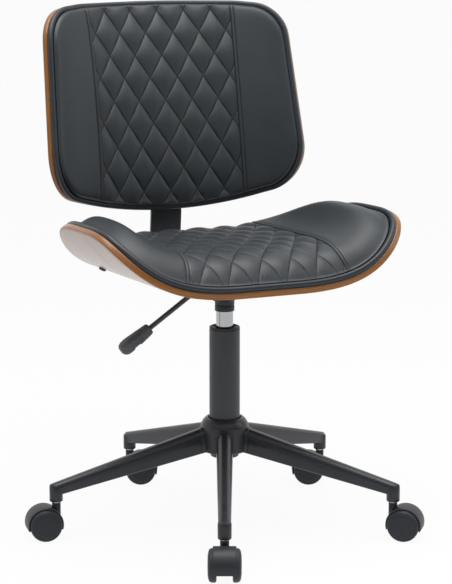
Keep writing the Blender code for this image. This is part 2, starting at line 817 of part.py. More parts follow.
def make_mechanism():
    plate_top = -PLY - GAP
    plate = box(-PLATE_X, PLATE_X, -PLATE_Y, PLATE_Y, plate_top - PLATE_SHEET, plate_top)
    holes = []
    for sx in (-1, 1):
        for sy in (-1, 1):
            spot = at(sx * PLATE_BOLT_X, sy * PLATE_BOLT_Y, plate_top)
            holes.append(("DIFFERENCE", placed(bolt_hole(-0.01, 0.01), spot)))
    piece("swivel_plate", combined(plate, holes), BLACK_STEEL, seat_plane, smooth=0)
    number = 1
    for sx in (-1, 1):
        for sy in (-1, 1):
            spot = at(sx * PLATE_BOLT_X, sy * PLATE_BOLT_Y, plate_top - PLATE_SHEET - GAP)
            bolt(f"plate_bolt_{number}", PLATE_SHEET + GAP + BOLT_BITE, seat_plane, spot)
            number += 1

    roof = seat_plane.matrix_local @ at(0.0, 0.0, plate_top - PLATE_SHEET - GAP)
    sheet = HOUSING_SHEET
    body = box(-HOUSING_X, HOUSING_X, -HOUSING_Y, HOUSING_Y, HOUSING_LOW, SEAT_Z)
    room = box(-HOUSING_X + sheet, HOUSING_X - sheet, -HOUSING_Y + sheet, HOUSING_Y - sheet,
               HOUSING_LOW + sheet, SEAT_Z + 0.01)
    above = placed(box(-0.1, 0.1, -0.1, 0.1, 0.0, 0.05), roof)
    post = rod(CYLINDER_RADIUS + GAP, HOUSING_LOW - 0.01, HOUSING_LOW + 0.01, ROUND_SIDES)
    mouth_place = at(-HOUSING_X, 0.0, LEVER_Z) @ turn(90.0, "Y")
    mouth = placed(rod(LEVER_RADIUS + 0.0012, -0.01, 0.01, 12), mouth_place)
    cuts = [("DIFFERENCE", room), ("DIFFERENCE", above), ("DIFFERENCE", post), ("DIFFERENCE", mouth)]
    piece("mechanism_housing", combined(body, cuts), BLACK_STEEL, seat_carrier, smooth=0)

    bore = CYLINDER_RADIUS + GAP
    top = HOUSING_LOW - GAP
    groove = BUSH_RADIUS - 0.0008
    profile = [(BUSH_FLARE, top), (BUSH_FLARE, top - 0.002), (BUSH_RADIUS, top - 0.006)]
    profile += [(BUSH_RADIUS, BUSH_LOW + 0.011), (groove, BUSH_LOW + 0.0105), (groove, BUSH_LOW + 0.0095)]
    profile += [(BUSH_RADIUS, BUSH_LOW + 0.009), (BUSH_RADIUS, BUSH_LOW + 0.001)]
    profile += [(BUSH_RADIUS - 0.001, BUSH_LOW), (bore, BUSH_LOW), (bore, top)]
    piece("lift_bush", turned(profile, ROUND_SIDES), BLACK_PLASTIC, seat_carrier)


def make_lever():
    lever = empty("lever", seat_carrier, at(LEVER_PIVOT_X, 0.0, LEVER_Z))
    drop = math.radians(LEVER_DROP)
    down = Vector((-math.cos(drop), 0.0, -math.sin(drop)))
    bend = Vector((LEVER_BEND_X - LEVER_PIVOT_X, 0.0, 0.0))
    path = [Vector((-LEVER_PIVOT_X + 0.002, 0.0, 0.0)), bend + Vector((0.006, 0.0, 0.0))]
    path += [bend + Vector((0.0, 0.0, -0.001)), bend + down * 0.007, bend + down * LEVER_ROD]
    rows = []
    sides = 10
    for k, p in enumerate(path):
        before = path[max(k - 1, 0)]
        after = path[min(k + 1, len(path) - 1)]
        along = (after - before).normalized()
        across = along.cross(Vector((0.0, 1.0, 0.0)))
        rows.append([
            tuple(p + (across * math.cos(2 * math.pi * i / sides)
                       + Vector((0.0, 1.0, 0.0)) * math.sin(2 * math.pi * i / sides)) * LEVER_RADIUS)
            for i in range(sides)
        ])
    piece("lever_rod", loft(rows), BLACK_STEEL, lever)

    half = PADDLE_WIDTH / 2
    thick = PADDLE_THICK / 2
    rows = []
    # distance along the paddle, half-width, top and underside, in shares of the full size
    for s, w, up, low in ((0.0, 0.62, 0.72, -0.72), (0.12, 0.72, 0.80, -0.88), (0.45, 0.88, 0.90, -0.94),
                          (0.53, 0.92, 0.92, -0.72), (0.66, 0.96, 0.95, -0.72), (0.74, 0.98, 0.96, -0.95),
                          (0.90, 0.90, 0.88, -0.92), (1.0, 0.62, 0.50, -0.55)):
        x = s * PADDLE_LENGTH
        w, up, low = w * half, up * thick, low * thick
        rows.append([(x, -w, low * 0.5), (x, -w * 0.7, low), (x, w * 0.7, low), (x, w, low * 0.5),
                     (x, w, up * 0.4), (x, w * 0.6, up), (x, -w * 0.6, up), (x, -w, up * 0.4)])
    start = bend + down * (LEVER_ROD - PADDLE_SLEEVE)
    bore = placed(rod(LEVER_RADIUS + GAP, -0.01, PADDLE_SLEEVE + GAP, sides), turn(90.0, "Y"))
    place = at(*start) @ turn(180.0 - LEVER_DROP, "Y")
    grip = combined(loft(rows), [("DIFFERENCE", bore)])
    piece("lever_paddle", grip, BLACK_PLASTIC, lever, place)


# Gas lift


def make_lift():
    inner = TUBE_RADIUS - TUBE_WALL
    floor = TUBE_LOW + TUBE_FLOOR
    hole = ROD_RADIUS + GAP
    tube = [(TUBE_RADIUS, TUBE_TOP), (TUBE_RADIUS, TUBE_LOW + 0.012), (TUBE_RADIUS - 0.002, TUBE_LOW)]
    tube += [(hole, TUBE_LOW), (hole, floor), (inner - 0.002, floor), (inner, TUBE_LOW + 0.014)]
    tube += [(inner, TUBE_TOP)]
    piece("column_tube", turned(tube, ROUND_SIDES), BLACK_STEEL, column)

    bore = CYLINDER_RADIUS + GAP
    sleeve_low = SLEEVE_TOP - SLEEVE_LENGTH
    fit = inner - GAP
    sleeve = [(bore + 0.004, SLEEVE_TOP - 0.002), (TUBE_RADIUS - 0.0035, SLEEVE_TOP)]
    sleeve += [(TUBE_RADIUS - 0.001, SLEEVE_TOP - 0.0005), (TUBE_RADIUS, SLEEVE_TOP - 0.002)]
    sleeve += [(TUBE_RADIUS, TUBE_TOP + 0.0013), (TUBE_RADIUS - 0.001, TUBE_TOP + GAP)]
    sleeve += [(fit, TUBE_TOP + GAP)]
    sleeve += [(fit, sleeve_low), (bore, sleeve_low), (bore, SLEEVE_TOP - 0.004)]
    piece("column_sleeve", turned(sleeve, ROUND_SIDES), BLACK_PLASTIC, column)

    bearing_low = floor + GAP
    bearing = ring(hole, BEARING_RADIUS, bearing_low, bearing_low + BEARING_HEIGHT, 20)
    piece("thrust_bearing", bearing, STEEL, column)

    rod_carrier = empty("rod_carrier", column)
    shoulder_low = bearing_low + BEARING_HEIGHT + GAP
    shoulder_top = shoulder_low + SHOULDER_HEIGHT
    cavity = CYLINDER_RADIUS - CYLINDER_WALL
    cavity_low = CYLINDER_LOW + GLAND
    cavity_top = cavity_low + LIFT_TRAVEL + PISTON + 4 * GAP + 0.015
    piston_top = cavity_top - 0.002
    head = cavity - GAP
    stem = [(0.0, piston_top), (head, piston_top), (head, piston_top - PISTON)]
    stem += [(ROD_RADIUS, piston_top - PISTON), (ROD_RADIUS, shoulder_top), (ROD_SHOULDER, shoulder_top)]
    stem += [(ROD_SHOULDER, shoulder_low), (ROD_RADIUS, shoulder_low), (ROD_RADIUS, ROD_LOW), (0.0, ROD_LOW)]
    piece("piston_rod", turned(stem, 20), STEEL, rod_carrier)
    clip_top = TUBE_LOW - GAP
    clip = ring(hole, CLIP_RADIUS, clip_top - CLIP_HEIGHT, clip_top, 20)
    piece("rod_clip", clip, STEEL, rod_carrier)

    top = CYLINDER_TOP
    button_hole = BUTTON_RADIUS + GAP
    pit = top - BUTTON_SINK - 0.004
    shaft = [(0.0, pit), (button_hole, pit), (button_hole, top), (CYLINDER_RADIUS - 0.001, top)]
    shaft += [(CYLINDER_RADIUS, top - 0.002), (CYLINDER_RADIUS, CYLINDER_LOW), (hole, CYLINDER_LOW)]
    shaft += [(hole, cavity_low), (cavity, cavity_low), (cavity, cavity_top), (0.0, cavity_top)]
    piece("gas_cylinder", turned(shaft, ROUND_SIDES), CHROME, seat_carrier)

    button_low = top - BUTTON_SINK + GAP
    button_top = LEVER_Z - LEVER_RADIUS - GAP
    piece("valve_button", rod(BUTTON_RADIUS, button_low, button_top, 16), STEEL, seat_carrier)


# Base


def leg_section(x, width, low, high):
    """A leg's section at x: flat below, upright sides and a rounded top with two facets."""
    half = width / 2
    deep = high - low
    right = [(half * 0.85, low), (half, low + deep * 0.12), (half, low + deep * 0.48)]
    right += [(half * 0.80, low + deep * 0.85), (half * 0.30, high)]
    return [(x, y, z) for y, z in right] + [(x, -y, z) for y, z in reversed(right)]


def leg_body(grow, start, *ends):
    rows = []
    for x, narrow in [(start, 1.0)] + list(ends):
        s = (x - LEG_START) / (LEG_REACH - LEG_START)
        low = LEG_LOW_IN + (LEG_LOW_OUT - LEG_LOW_IN) * s - grow
        high = LEG_TOP_IN + (LEG_TOP_OUT - LEG_TOP_IN) * s + grow
        width = (LEG_WIDTH_IN + (LEG_WIDTH_OUT - LEG_WIDTH_IN) * s) * narrow + 2 * grow
        rows.append(leg_section(x, width, low, high))
    return loft(rows)


def make_base():
    bore = TUBE_RADIUS + GAP
    waist = LEG_LOW_IN
    dome = [(HUB_MOUTH, HUB_TOP), (HUB_MOUTH + HUB_LIP, HUB_TOP), (HUB_RADIUS * 0.89, HUB_TOP - 0.005)]
    dome += [(HUB_RADIUS * 0.975, HUB_TOP - 0.012), (HUB_RADIUS, HUB_TOP - 0.022), (HUB_RADIUS, waist)]
    dome += [(bore, waist), (bore, HUB_TOP - 0.006), (HUB_MOUTH, HUB_TOP - 0.003)]
    cuts = []
    for k in range(LEGS):
        heading = turn(BASE_TURN + 360.0 / LEGS * k, "Z")
        cutter = leg_body(GAP, LEG_START - GAP, (HUB_RADIUS * 1.5, 1.0))
        cuts.append(("DIFFERENCE", placed(cutter, heading)))
        side = LEG_WIDTH_IN * 0.4
        foot = box(LEG_START - GAP, HUB_RADIUS * 1.5, -side, side, waist - 0.01, waist + 0.003)
        cuts.append(("DIFFERENCE", placed(foot, heading)))
    piece("base_hub", combined(turned(dome, 30), cuts), BLACK_STEEL, column)

    socket_top = LEG_TOP_OUT - 0.006
    shoulder, tip = LEG_REACH + SOCKET_RADIUS * 0.15, LEG_REACH + SOCKET_RADIUS * 0.88
    hollow = leg_body(-LEG_WALL, LEG_START - 0.01, (LEG_REACH - SOCKET_RADIUS - 0.003, 1.0))
    socket_profile = [(0.0, socket_top), (SOCKET_RADIUS - 0.001, socket_top)]
    socket_profile += [(SOCKET_RADIUS, socket_top - 0.001)]
    socket_profile += [(SOCKET_RADIUS, SOCKET_LOW + 0.0012), (SOCKET_RADIUS - 0.0012, SOCKET_LOW)]
    socket_profile += [(0.0, SOCKET_LOW)]
    socket = turned(socket_profile, 16)
    hole_top = SOCKET_LOW + STEM_RISE + GAP
    hole = rod(STEM_RADIUS + GAP, SOCKET_LOW - 0.01, hole_top, 12)
    leg = combined(leg_body(0.0, LEG_START, (shoulder, 1.0), (tip, 0.5)), [
        ("DIFFERENCE", hollow),
        ("UNION", placed(socket, at(LEG_REACH, 0.0, 0.0))),
        ("DIFFERENCE", placed(hole, at(LEG_REACH, 0.0, 0.0))),
    ])
    for k in range(LEGS):
        spoke = empty(f"spoke_{k + 1}", column, turn(BASE_TURN + 360.0 / LEGS * k, "Z"))
        piece(f"base_leg_{k + 1}", leg.copy(), BLACK_STEEL, spoke)


# Casters


def caster_housing():
    """Fender and centre block in one moulding. The stem stands on Z and the axle lies along Y at TRAIL."""
    fender = WHEEL_RADIUS + RUN + FENDER_WALL
    axle_z = WHEEL_RADIUS * math.cos(math.pi / WHEEL_SIDES)
    lie = at(TRAIL, 0.0, axle_z) @ turn(90.0, "X")
    block = placed(rod(fender, -FENDER_HALF, FENDER_HALF, WHEEL_SIDES), lie)
    steps = [("DIFFERENCE", box(-0.1, 0.1, -0.1, 0.1, -0.05, FENDER_LOW))]
    inner = WHEEL_INNER - RUN
    for low, high in ((inner, FENDER_HALF + 0.01), (-FENDER_HALF - 0.01, -inner)):
        steps.append(("DIFFERENCE", placed(rod(WHEEL_RADIUS + RUN, low, high, WHEEL_SIDES), lie)))
    boss = turned([(0.0, BOSS_TOP), (BOSS_RADIUS - 0.001, BOSS_TOP), (BOSS_RADIUS, BOSS_TOP - 0.001),
                   (BOSS_RADIUS, BOSS_TOP - STEM_SINK - 0.006), (0.0, BOSS_TOP - STEM_SINK - 0.006)], 12)
    steps.append(("UNION", boss))
    steps.append(("DIFFERENCE", rod(STEM_RADIUS + GAP, BOSS_TOP - STEM_SINK - GAP, BOSS_TOP + 0.01, 12)))
    steps.append(("DIFFERENCE", placed(rod(AXLE_RADIUS + GAP, -0.03, 0.03, 8), lie)))
    return combined(block, steps)


def wheel():
    """One wheel, its inner face towards -Z: a tread, a domed outer face and a blind axle bore."""
    tread = WHEEL_INNER + WHEEL_TREAD
    face = tread + WHEEL_DOME
    bore = AXLE_RADIUS + GAP
    end = face - 0.0035
    rounds = [(0.0, face), (WHEEL_RADIUS * 0.60, face - WHEEL_DOME * 0.16)]
    rounds += [(WHEEL_RADIUS * 0.91, face - WHEEL_DOME * 0.58), (WHEEL_RADIUS, tread)]
    rounds += [(WHEEL_RADIUS, WHEEL_INNER)]
    rounds += [(bore, WHEEL_INNER), (bore, end), (0.0, end)]
    return turned(rounds, WHEEL_SIDES)


def make_casters():
    housing = caster_housing()
    disc = wheel()
    axle_z = WHEEL_RADIUS * math.cos(math.pi / WHEEL_SIDES)
    axle_half = WHEEL_INNER + WHEEL_TREAD + WHEEL_DOME - 0.0035 - AXLE_END_GAP
    stem_low = BOSS_TOP - STEM_SINK
    collar_low = BOSS_TOP + GAP
    stem_top, collar_top = SOCKET_LOW + STEM_RISE, SOCKET_LOW - GAP
    stem = [(0.0, stem_top), (STEM_RADIUS, stem_top), (STEM_RADIUS, collar_top)]
    stem += [(STEM_COLLAR_RADIUS, collar_top), (STEM_COLLAR_RADIUS, collar_low)]
    stem += [(STEM_RADIUS, collar_low), (STEM_RADIUS, stem_low), (0.0, stem_low)]
    stem_mesh = turned(stem, 12)
    for k in range(LEGS):
        spoke = math.radians(BASE_TURN + 360.0 / LEGS * k)
        spot = at(LEG_REACH * math.cos(spoke), LEG_REACH * math.sin(spoke), 0.0)
        piece(f"caster_stem_{k + 1}", stem_mesh.copy(), BLACK_STEEL, column, spot)
        carrier = empty(f"caster_{k + 1}", column, spot @ turn(TRAIL_HEADINGS[k], "Z"))
        piece(f"caster_housing_{k + 1}", housing.copy(), BLACK_PLASTIC, carrier)
        axle = empty(f"axle_{k + 1}", carrier, at(TRAIL, 0.0, axle_z))
        lie = turn(90.0, "X")
        piece(f"caster_axle_{k + 1}", rod(AXLE_RADIUS, -axle_half, axle_half, 8), STEEL, axle, lie)
        piece(f"caster_wheel_right_{k + 1}", disc.copy(), WHEEL_PLASTIC, axle, lie)
        flip = turn(-90.0, "X")
        piece(f"caster_wheel_left_{k + 1}", disc.copy(), WHEEL_PLASTIC, axle, flip)


make_base()
make_casters()
make_lift()
make_mechanism()
make_lever()
make_seat()
make_back()
make_bracket()
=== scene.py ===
# %% [markdown]
# # A bentwood desk chair
# The chair has two moulded plywood shells, each with a quilted leather-like pad sewn to it. They stand on a
# steel bracket, a gas lift, a five-legged star base and twin-wheel casters. The engineering model gives every
# piece its place and its motion. This lesson gives each visible piece its real surface and finish.
# Every finished piece is a mesh at the origin, in metres, and rides on the body that carries it.

# %% Load the frame
import math

import bmesh
import bpy
import numpy as np
from mathutils import Matrix, Vector
from mathutils.geometry import delaunay_2d_cdt


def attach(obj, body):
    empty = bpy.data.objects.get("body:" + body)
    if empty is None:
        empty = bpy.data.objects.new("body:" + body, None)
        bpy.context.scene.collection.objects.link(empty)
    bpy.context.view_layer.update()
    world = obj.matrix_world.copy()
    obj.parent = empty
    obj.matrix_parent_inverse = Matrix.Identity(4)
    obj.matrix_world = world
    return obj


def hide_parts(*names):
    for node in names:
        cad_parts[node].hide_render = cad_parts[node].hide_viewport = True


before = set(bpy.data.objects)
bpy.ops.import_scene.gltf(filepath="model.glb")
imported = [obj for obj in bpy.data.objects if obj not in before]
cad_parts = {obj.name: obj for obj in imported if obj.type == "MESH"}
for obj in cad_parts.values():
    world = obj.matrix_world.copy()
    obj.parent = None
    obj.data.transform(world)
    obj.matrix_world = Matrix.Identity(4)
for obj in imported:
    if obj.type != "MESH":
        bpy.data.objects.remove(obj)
for name in ("Cube", "Light", "Camera"):  # a new file's own objects
    if name in bpy.data.objects:
        bpy.data.objects.remove(bpy.data.objects[name])
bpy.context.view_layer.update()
COLUMN = Matrix.Translation((0.0350, 0.0010, 0.0))

# %% [markdown]
# ## Helpers for meshes
# Most rigid pieces here are round or are swept along a path. Two small makers do both: one spins a profile,
# the other joins a row of sections. Both give closed bodies with their faces outwards. The angle between
# faces decides where an edge is sharp, so machined edges stay crisp and curved skins stay smooth.


# %% Mesh helpers
def linked(name, mesh):
    """A new object of a mesh, a light or a camera, in the scene."""
    made = bpy.data.objects.new(name, mesh)
    bpy.context.scene.collection.objects.link(made)
    return made


def plain_mesh(name, points, edges=(), faces=()):
    """A mesh from lists of points, edges and faces."""
    mesh = bpy.data.meshes.new(name)
    mesh.from_pydata([tuple(p) for p in points], list(edges), [tuple(f) for f in faces])
    return mesh


def shaded(mesh, angle):
    """Smooth shading, with each edge over an angle kept sharp."""
    mesh.shade_smooth()
    mesh.set_sharp_from_angle(angle=math.radians(angle))


def mesh_object(name, points, faces, place=Matrix.Identity(4), angle=38.0):
    """A linked object with its place in its mesh and its faces outwards."""
    mesh = plain_mesh(name, points, (), faces)
    mesh.transform(place)
    work = bmesh.new()
    work.from_mesh(mesh)
    bmesh.ops.remove_doubles(work, verts=work.verts, dist=1e-6)
    bmesh.ops.recalc_face_normals(work, faces=work.faces)
    work.to_mesh(mesh)
    work.free()
    shaded(mesh, angle)
    return linked(name, mesh)


def spun(profile, sides=64):
    """Points and faces of a closed profile of (radius, height), spun round Z."""
    points, faces, rings = [], [], []
    for radius, height in profile:
        count = sides if radius > 1e-7 else 1
        rings.append([len(points) + k % count for k in range(sides)])
        for k in range(count):
            a = 2 * math.pi * k / sides
            points.append((radius * math.cos(a), radius * math.sin(a), height))
    for a, b in zip(rings, rings[1:] + rings[:1]):
        for k in range(sides):
            n = (k + 1) % sides
            corners = list(dict.fromkeys((a[k], a[n], b[n], b[k])))
            if len(corners) > 2:
                faces.append(corners)
    return points, faces


def turned(name, profile, sides, place=Matrix.Identity(4), angle=38.0):
    """A body that is spun from a profile."""
    return mesh_object(name, *spun(profile, sides), place, angle)


def lofted(sections):
    """Points and faces of a body through equal rings of points, closed at both ends."""
    count = len(sections[0])
    points = [p for ring in sections for p in ring]
    faces = [tuple(reversed(range(count)))]
    for a in range(0, len(points) - count, count):
        b = a + count
        faces += [(a + k, a + (k + 1) % count, b + (k + 1) % count, b + k) for k in range(count)]
    return points, faces + [tuple(range(len(points) - count, len(points)))]


def eased(corners, radius, steps=4):
    """A line of (x, y) corners with each inner corner rounded."""
    path = [Vector(corners[0])]
    for before, corner, after in zip(corners, corners[1:], corners[2:]):
        before, corner, after = Vector(before), Vector(corner), Vector(after)
        reach = min(radius, (before - corner).length * 0.49, (after - corner).length * 0.49)
        start = corner + (before - corner).normalized() * reach
        end = corner + (after - corner).normalized() * reach
        for k in range(steps + 1):
            s = k / steps
            path.append(start.lerp(corner, s).lerp(corner.lerp(end, s), s))
    return [tuple(p) for p in (*path, Vector(corners[-1]))]


def evaluated_mesh(thing):
    """An object's mesh with its modifiers done."""
    return bpy.data.meshes.new_from_object(thing.evaluated_get(bpy.context.evaluated_depsgraph_get()))


def cut(body, tool, how):
    """Join or cut body with tool, and remove the tool."""
    step = body.modifiers.new(how.lower(), "BOOLEAN")
    step.operation, step.object, step.solver = how, tool, "EXACT"
    mesh = evaluated_mesh(body)
    body.modifiers.clear()
    body.data = mesh
    bpy.data.objects.remove(tool)
    return body


def copied(source, name, place):
    """A copy of a body, moved in its mesh."""
    mesh = source.data.copy()
    mesh.transform(place)
    return linked(name, mesh)


def fitted(piece, body, slot, finish, *nodes):
    """Give a piece its finish, its carrier and the solids that it stands for. The slot is not used."""
    if finish is not None:
        piece.data.materials.clear()
        piece.data.materials.append(finish)
    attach(piece, body)
    if nodes:
        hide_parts(*nodes)
    print(piece.name, len(piece.data.polygons), "faces on", body)
    return piece


def at(x, y, z):
    return Matrix.Translation((x, y, z))


def turn(degrees, axis):
    return Matrix.Rotation(math.radians(degrees), 4, axis)


# %% [markdown]
# ## Finishes
# The cover is a soft black polyurethane leather: a fine pebble grain, a low even sheen, and duller creases
# where it is sewn down, darkened there by painted shade. Each effect that several finishes share is a node
# group, built once, with named inputs. A group only gives out masks and heights, and each material keeps
# its own shader.


# %% Node helpers
def feed(tree, socket, value):
    """Link a socket to another one or to a node's first output, or set its number."""
    if isinstance(value, bpy.types.Node):
        value = value.outputs[0]
    if isinstance(value, bpy.types.NodeSocket):
        tree.links.new(value, socket)
    else:
        socket.default_value = value


def feed_all(tree, sockets, **values):
    """Feed the sockets that have these names."""
    for label, value in values.items():
        feed(tree, sockets[label.replace("_", " ")], value)


def node(tree, kind, *inputs, **settings):
    """A new node. Plain values go to its inputs in order, named ones to its properties or its inputs."""
    made = tree.nodes.new(kind if "Node" in kind else f"{tree.type.title()}Node{kind}")
    for key, value in settings.items():
        if hasattr(made, key):
            setattr(made, key, value)
        else:
            feed_all(tree, made.inputs, **{key: value})
    for socket, value in zip(made.inputs, inputs):
        feed(tree, socket, value)
    return made


def node_group(name, inputs, outputs, kind="ShaderNodeTree"):
    """An empty group, what goes in and what it gives out. A number stands for a value with that default."""
    tree = bpy.data.node_groups.new(name, kind)
    for way, sockets in (("INPUT", inputs), ("OUTPUT", outputs)):
        for label, value in sockets.items():
            if isinstance(value, str):
                tree.interface.new_socket(label, in_out=way, socket_type=value)
            else:
                made = tree.interface.new_socket(label, in_out=way, socket_type="NodeSocketFloat")
                made.default_value = value
    return tree, tree.nodes.new("NodeGroupInput").outputs, tree.nodes.new("NodeGroupOutput").inputs


def spread(tree, source, low, high, to_low, to_high):
    """Map a value from one range to another."""
    return node(tree, "MapRange", source, low, high, to_low, to_high)


def noise(tree, place, scale, detail, rough=0.5):
    return node(tree, "TexNoise", Vector=place, Scale=scale, Detail=detail, Roughness=rough)


def maths(tree, operation, *values):
    """A math node on sockets or numbers."""
    return node(tree, "Math", *values, operation=operation)


# %% Shared shader groups
VECTOR = "NodeSocketVector"

# pebbled hide: rounded cells, uneven in size, and slow changes of tone
pebble, given, out = node_group("pebble grain", {"Position": VECTOR, "Cells": 800.0},
                                {"Height": 0.0, "Tone": 0.0})
shift = noise(pebble, given["Position"], 220.0, 2.0).outputs["Color"]
mixed = node(pebble, "VectorMath", shift, (0.0012, 0.0012, 0.0012), given["Position"],
             operation="MULTIPLY_ADD")
cells = node(pebble, "TexVoronoi", feature="SMOOTH_F1", Smoothness=0.35, Vector=mixed,
             Scale=given["Cells"])
feed_all(pebble, out, Height=cells, Tone=noise(pebble, given["Position"], 9.0, 3.0, 0.6))

# wood figure: long streaks across the grain, fine pores along it
figure, given, out = node_group("wood figure", {"Position": VECTOR, "Width": 1.0},
                                {"Streak": 0.0, "Pores": 0.0})
scaled = node(figure, "VectorMath", given["Position"], operation="SCALE", Scale=given["Width"])
warp = noise(figure, scaled, 5.0, 2.0).outputs["Color"]
bend = node(figure, "VectorMath", warp, (0.010, 0.030, 0.0), scaled, operation="MULTIPLY_ADD")
for label, squeeze, detail, rough in (("Streak", (3.0, 62.0, 1.0), 5.0, 0.62),
                                      ("Pores", (60.0, 1500.0, 1.0), 2.0, 0.5)):
    drawn = node(figure, "Mapping", Vector=bend, Scale=squeeze)
    feed(figure, out[label], noise(figure, drawn, 1.0, detail, rough))

# handled surface: a fine coat texture and soft smudges
coat, given, out = node_group("coat texture", {"Position": VECTOR, "Fineness": 1500.0},
                              {"Height": 0.0, "Smudge": 0.0})
feed_all(coat, out, Height=noise(coat, given["Position"], given["Fineness"], 2.0, 0.55),
         Smudge=noise(coat, given["Position"], 28.0, 4.0, 0.6))

# sewn lines: how near a slanting seam or a seam beside a welt is, from the pad's flat map
PANEL, DIAMOND, DIAMOND_LONG, QUILT_START, WELT_SEAM = 0.139, 0.050, 0.077, 0.0115, 0.0029
SLANT = DIAMOND * DIAMOND_LONG / math.hypot(DIAMOND, DIAMOND_LONG)
sewing, given, out = node_group("sewn lines", {"Position": VECTOR, "Reach": 0.0012}, {"Mask": 0.0})
split = node(sewing, "SeparateXYZ", given["Position"]).outputs


def sew(operation, *values):
    return maths(sewing, operation, *values)


across = sew("DIVIDE", split["X"], DIAMOND)
along = sew("DIVIDE", sew("SUBTRACT", split["Y"], QUILT_START), DIAMOND_LONG)
near = [sew("MULTIPLY", sew("PINGPONG", sew(way, across, along), 0.5), SLANT) for way in ("SUBTRACT", "ADD")]
past = sew("SUBTRACT", sew("ABSOLUTE", split["X"]), PANEL)
seam = sew("SUBTRACT", 1.0, sew("DIVIDE", sew("MINIMUM", *near), given["Reach"]))
seam = sew("MULTIPLY", seam, sew("LESS_THAN", past, 0.0))
welt = sew("ABSOLUTE", sew("SUBTRACT", sew("ABSOLUTE", past), WELT_SEAM))
welt = sew("SUBTRACT", 1.0, sew("DIVIDE", welt, given["Reach"]))
feed_all(sewing, out, Mask=sew("MAXIMUM", sew("MAXIMUM", seam, welt), 0.0))
print("shader groups:", [g.name for g in bpy.data.node_groups if g.bl_idname == "ShaderNodeTree"])


# %% [markdown]
# ## The materials themselves
# A colour that varies over the surface comes through a mix of two tones, and a number that is the same all
# over is set on the shader. The grain of the cover and the figure of the veneer follow real sizes: pebbles of
# about a millimetre, pores a few hundredths wide. The veneer's pattern reads the sheet's own flat map, so it
# bends with the shell as a real veneer does.


# %% Material makers
def flat_place(tree):
    """The sheet's own flat map."""
    return node(tree, "UVMap", uv_map="sheet")


def finish_of(name, group, on_sheet=False, **settings):
    """A material, its tree, its shader's inputs and what its texture group gives out."""
    made = bpy.data.materials.new(name)
    made.use_nodes = True
    tree = made.node_tree
    place = flat_place(tree) if on_sheet else node(tree, "TexCoord").outputs["Object"]
    placed = node(tree, "Group", node_tree=group, Position=place, **settings)
    return made, tree, tree.nodes["Principled BSDF"].inputs, placed.outputs


def blended(tree, factor, *tones):
    """A mix of two colours by a factor. Each is three numbers or a socket."""
    mix = node(tree, "Mix", data_type="RGBA", Factor=factor)
    for socket, tone in zip([s for s in mix.inputs if s.type == "RGBA"], tones):
        feed(tree, socket, (*tone, 1.0) if isinstance(tone, (tuple, list)) else tone)
    return next(s for s in mix.outputs if s.type == "RGBA")


def darker(colour, share):
    return [c * share for c in colour]


def relief(tree, shader, height, distance, strength=1.0):
    """Fine relief; a second call adds to the first."""
    bump = node(tree, "Bump", Strength=strength, Distance=distance, Height=height)
    if shader["Normal"].is_linked:
        tree.links.new(shader["Normal"].links[0].from_socket, bump.inputs["Normal"])
    feed(tree, shader["Normal"], bump)


def leather(name, dark, light, rough, cells):
    """The cover: pebbled, dull on its seams, and darkened there by painted shade."""
    made, tree, shader, hide = finish_of(name, pebble, Cells=cells)
    sewn = node(tree, "Group", node_tree=sewing, Position=flat_place(tree))
    tone = blended(tree, spread(tree, hide["Tone"], 0.3, 0.7, 0.0, 1.0), dark, light)
    worn = spread(tree, hide["Tone"], 0.3, 0.7, rough - 0.03, rough + 0.04)
    # painted shade: the seams are darkened towards a sixth of the dark tone, as shade in their grooves
    seam_shaded = blended(tree, maths(tree, "MULTIPLY", sewn, 0.95), tone, darker(dark, 0.16))
    feed_all(tree, shader, Base_Color=seam_shaded,
             Roughness=maths(tree, "ADD", worn, maths(tree, "MULTIPLY", sewn, 0.25)), Specular_IOR_Level=0.42)
    relief(tree, shader, hide["Tone"], 0.0020, 0.35)
    relief(tree, shader, maths(tree, "MULTIPLY", sewn, -1.0), 0.0006, 0.6)
    relief(tree, shader, hide["Height"], 0.00016, 0.5)
    return made


def coated(name, colour, rough, metal=0.0, fineness=1500.0, depth=0.00003):
    """Paint, moulded plastic or bare metal: one tone, with smudges in its gloss and a fine texture."""
    made, tree, shader, surface = finish_of(name, coat, Fineness=fineness)
    smudge = spread(tree, surface["Smudge"], 0.3, 0.7, 0.0, 1.0)
    feed_all(tree, shader, Base_Color=blended(tree, smudge, darker(colour, 0.90), darker(colour, 1.10)),
             Roughness=spread(tree, surface["Smudge"], 0.3, 0.7, rough - 0.04, rough + 0.05),
             Metallic=metal, Specular_IOR_Level=0.38)
    relief(tree, shader, surface["Height"], depth, 0.4)
    return made


HIDE = leather("black cover", (0.0205, 0.0252, 0.0292), (0.0270, 0.0325, 0.0370), 0.44, 800.0)
CORD = leather("piping cover", (0.0200, 0.0258, 0.0325), (0.0265, 0.0335, 0.0410), 0.38, 900.0)
THREAD = coated("sewing thread", (0.012, 0.013, 0.014), 0.60, 0.0, 4000.0)
PAINT = coated("black powder coat", (0.0540, 0.0575, 0.0660), 0.42, 0.0, 1700.0)
GLOSS = coated("glossy black paint", (0.0260, 0.0285, 0.0345), 0.30, 0.0, 700.0, 0.000004)
# painted light: the lever's rod paint and paddle plastic are lighter copies of the black paint and plastic,
# to make up for the seat's shadow over them
LIT_LEVER_PAINT = coated("lever paint with painted light", (0.0700, 0.0750, 0.0830), 0.42, 0.0, 1700.0)
LIT_LEVER_GRIP = coated("lever plastic with painted light", (0.0980, 0.1050, 0.1150), 0.56, 0.0, 1300.0, 0.00002)
CHROME = coated("polished chrome", (0.43, 0.45, 0.455), 0.12, 1.0, 900.0, 0.00001)
STEEL = coated("bright steel", (0.70, 0.71, 0.72), 0.29, 1.0, 2200.0)
PLASTIC = coated("moulded black plastic", (0.0205, 0.0236, 0.0288), 0.46, 0.0, 1300.0, 0.00006)
RUBBER = coated("wheel plastic", (0.0213, 0.0250, 0.0312), 0.50, 0.0, 900.0, 0.00006)

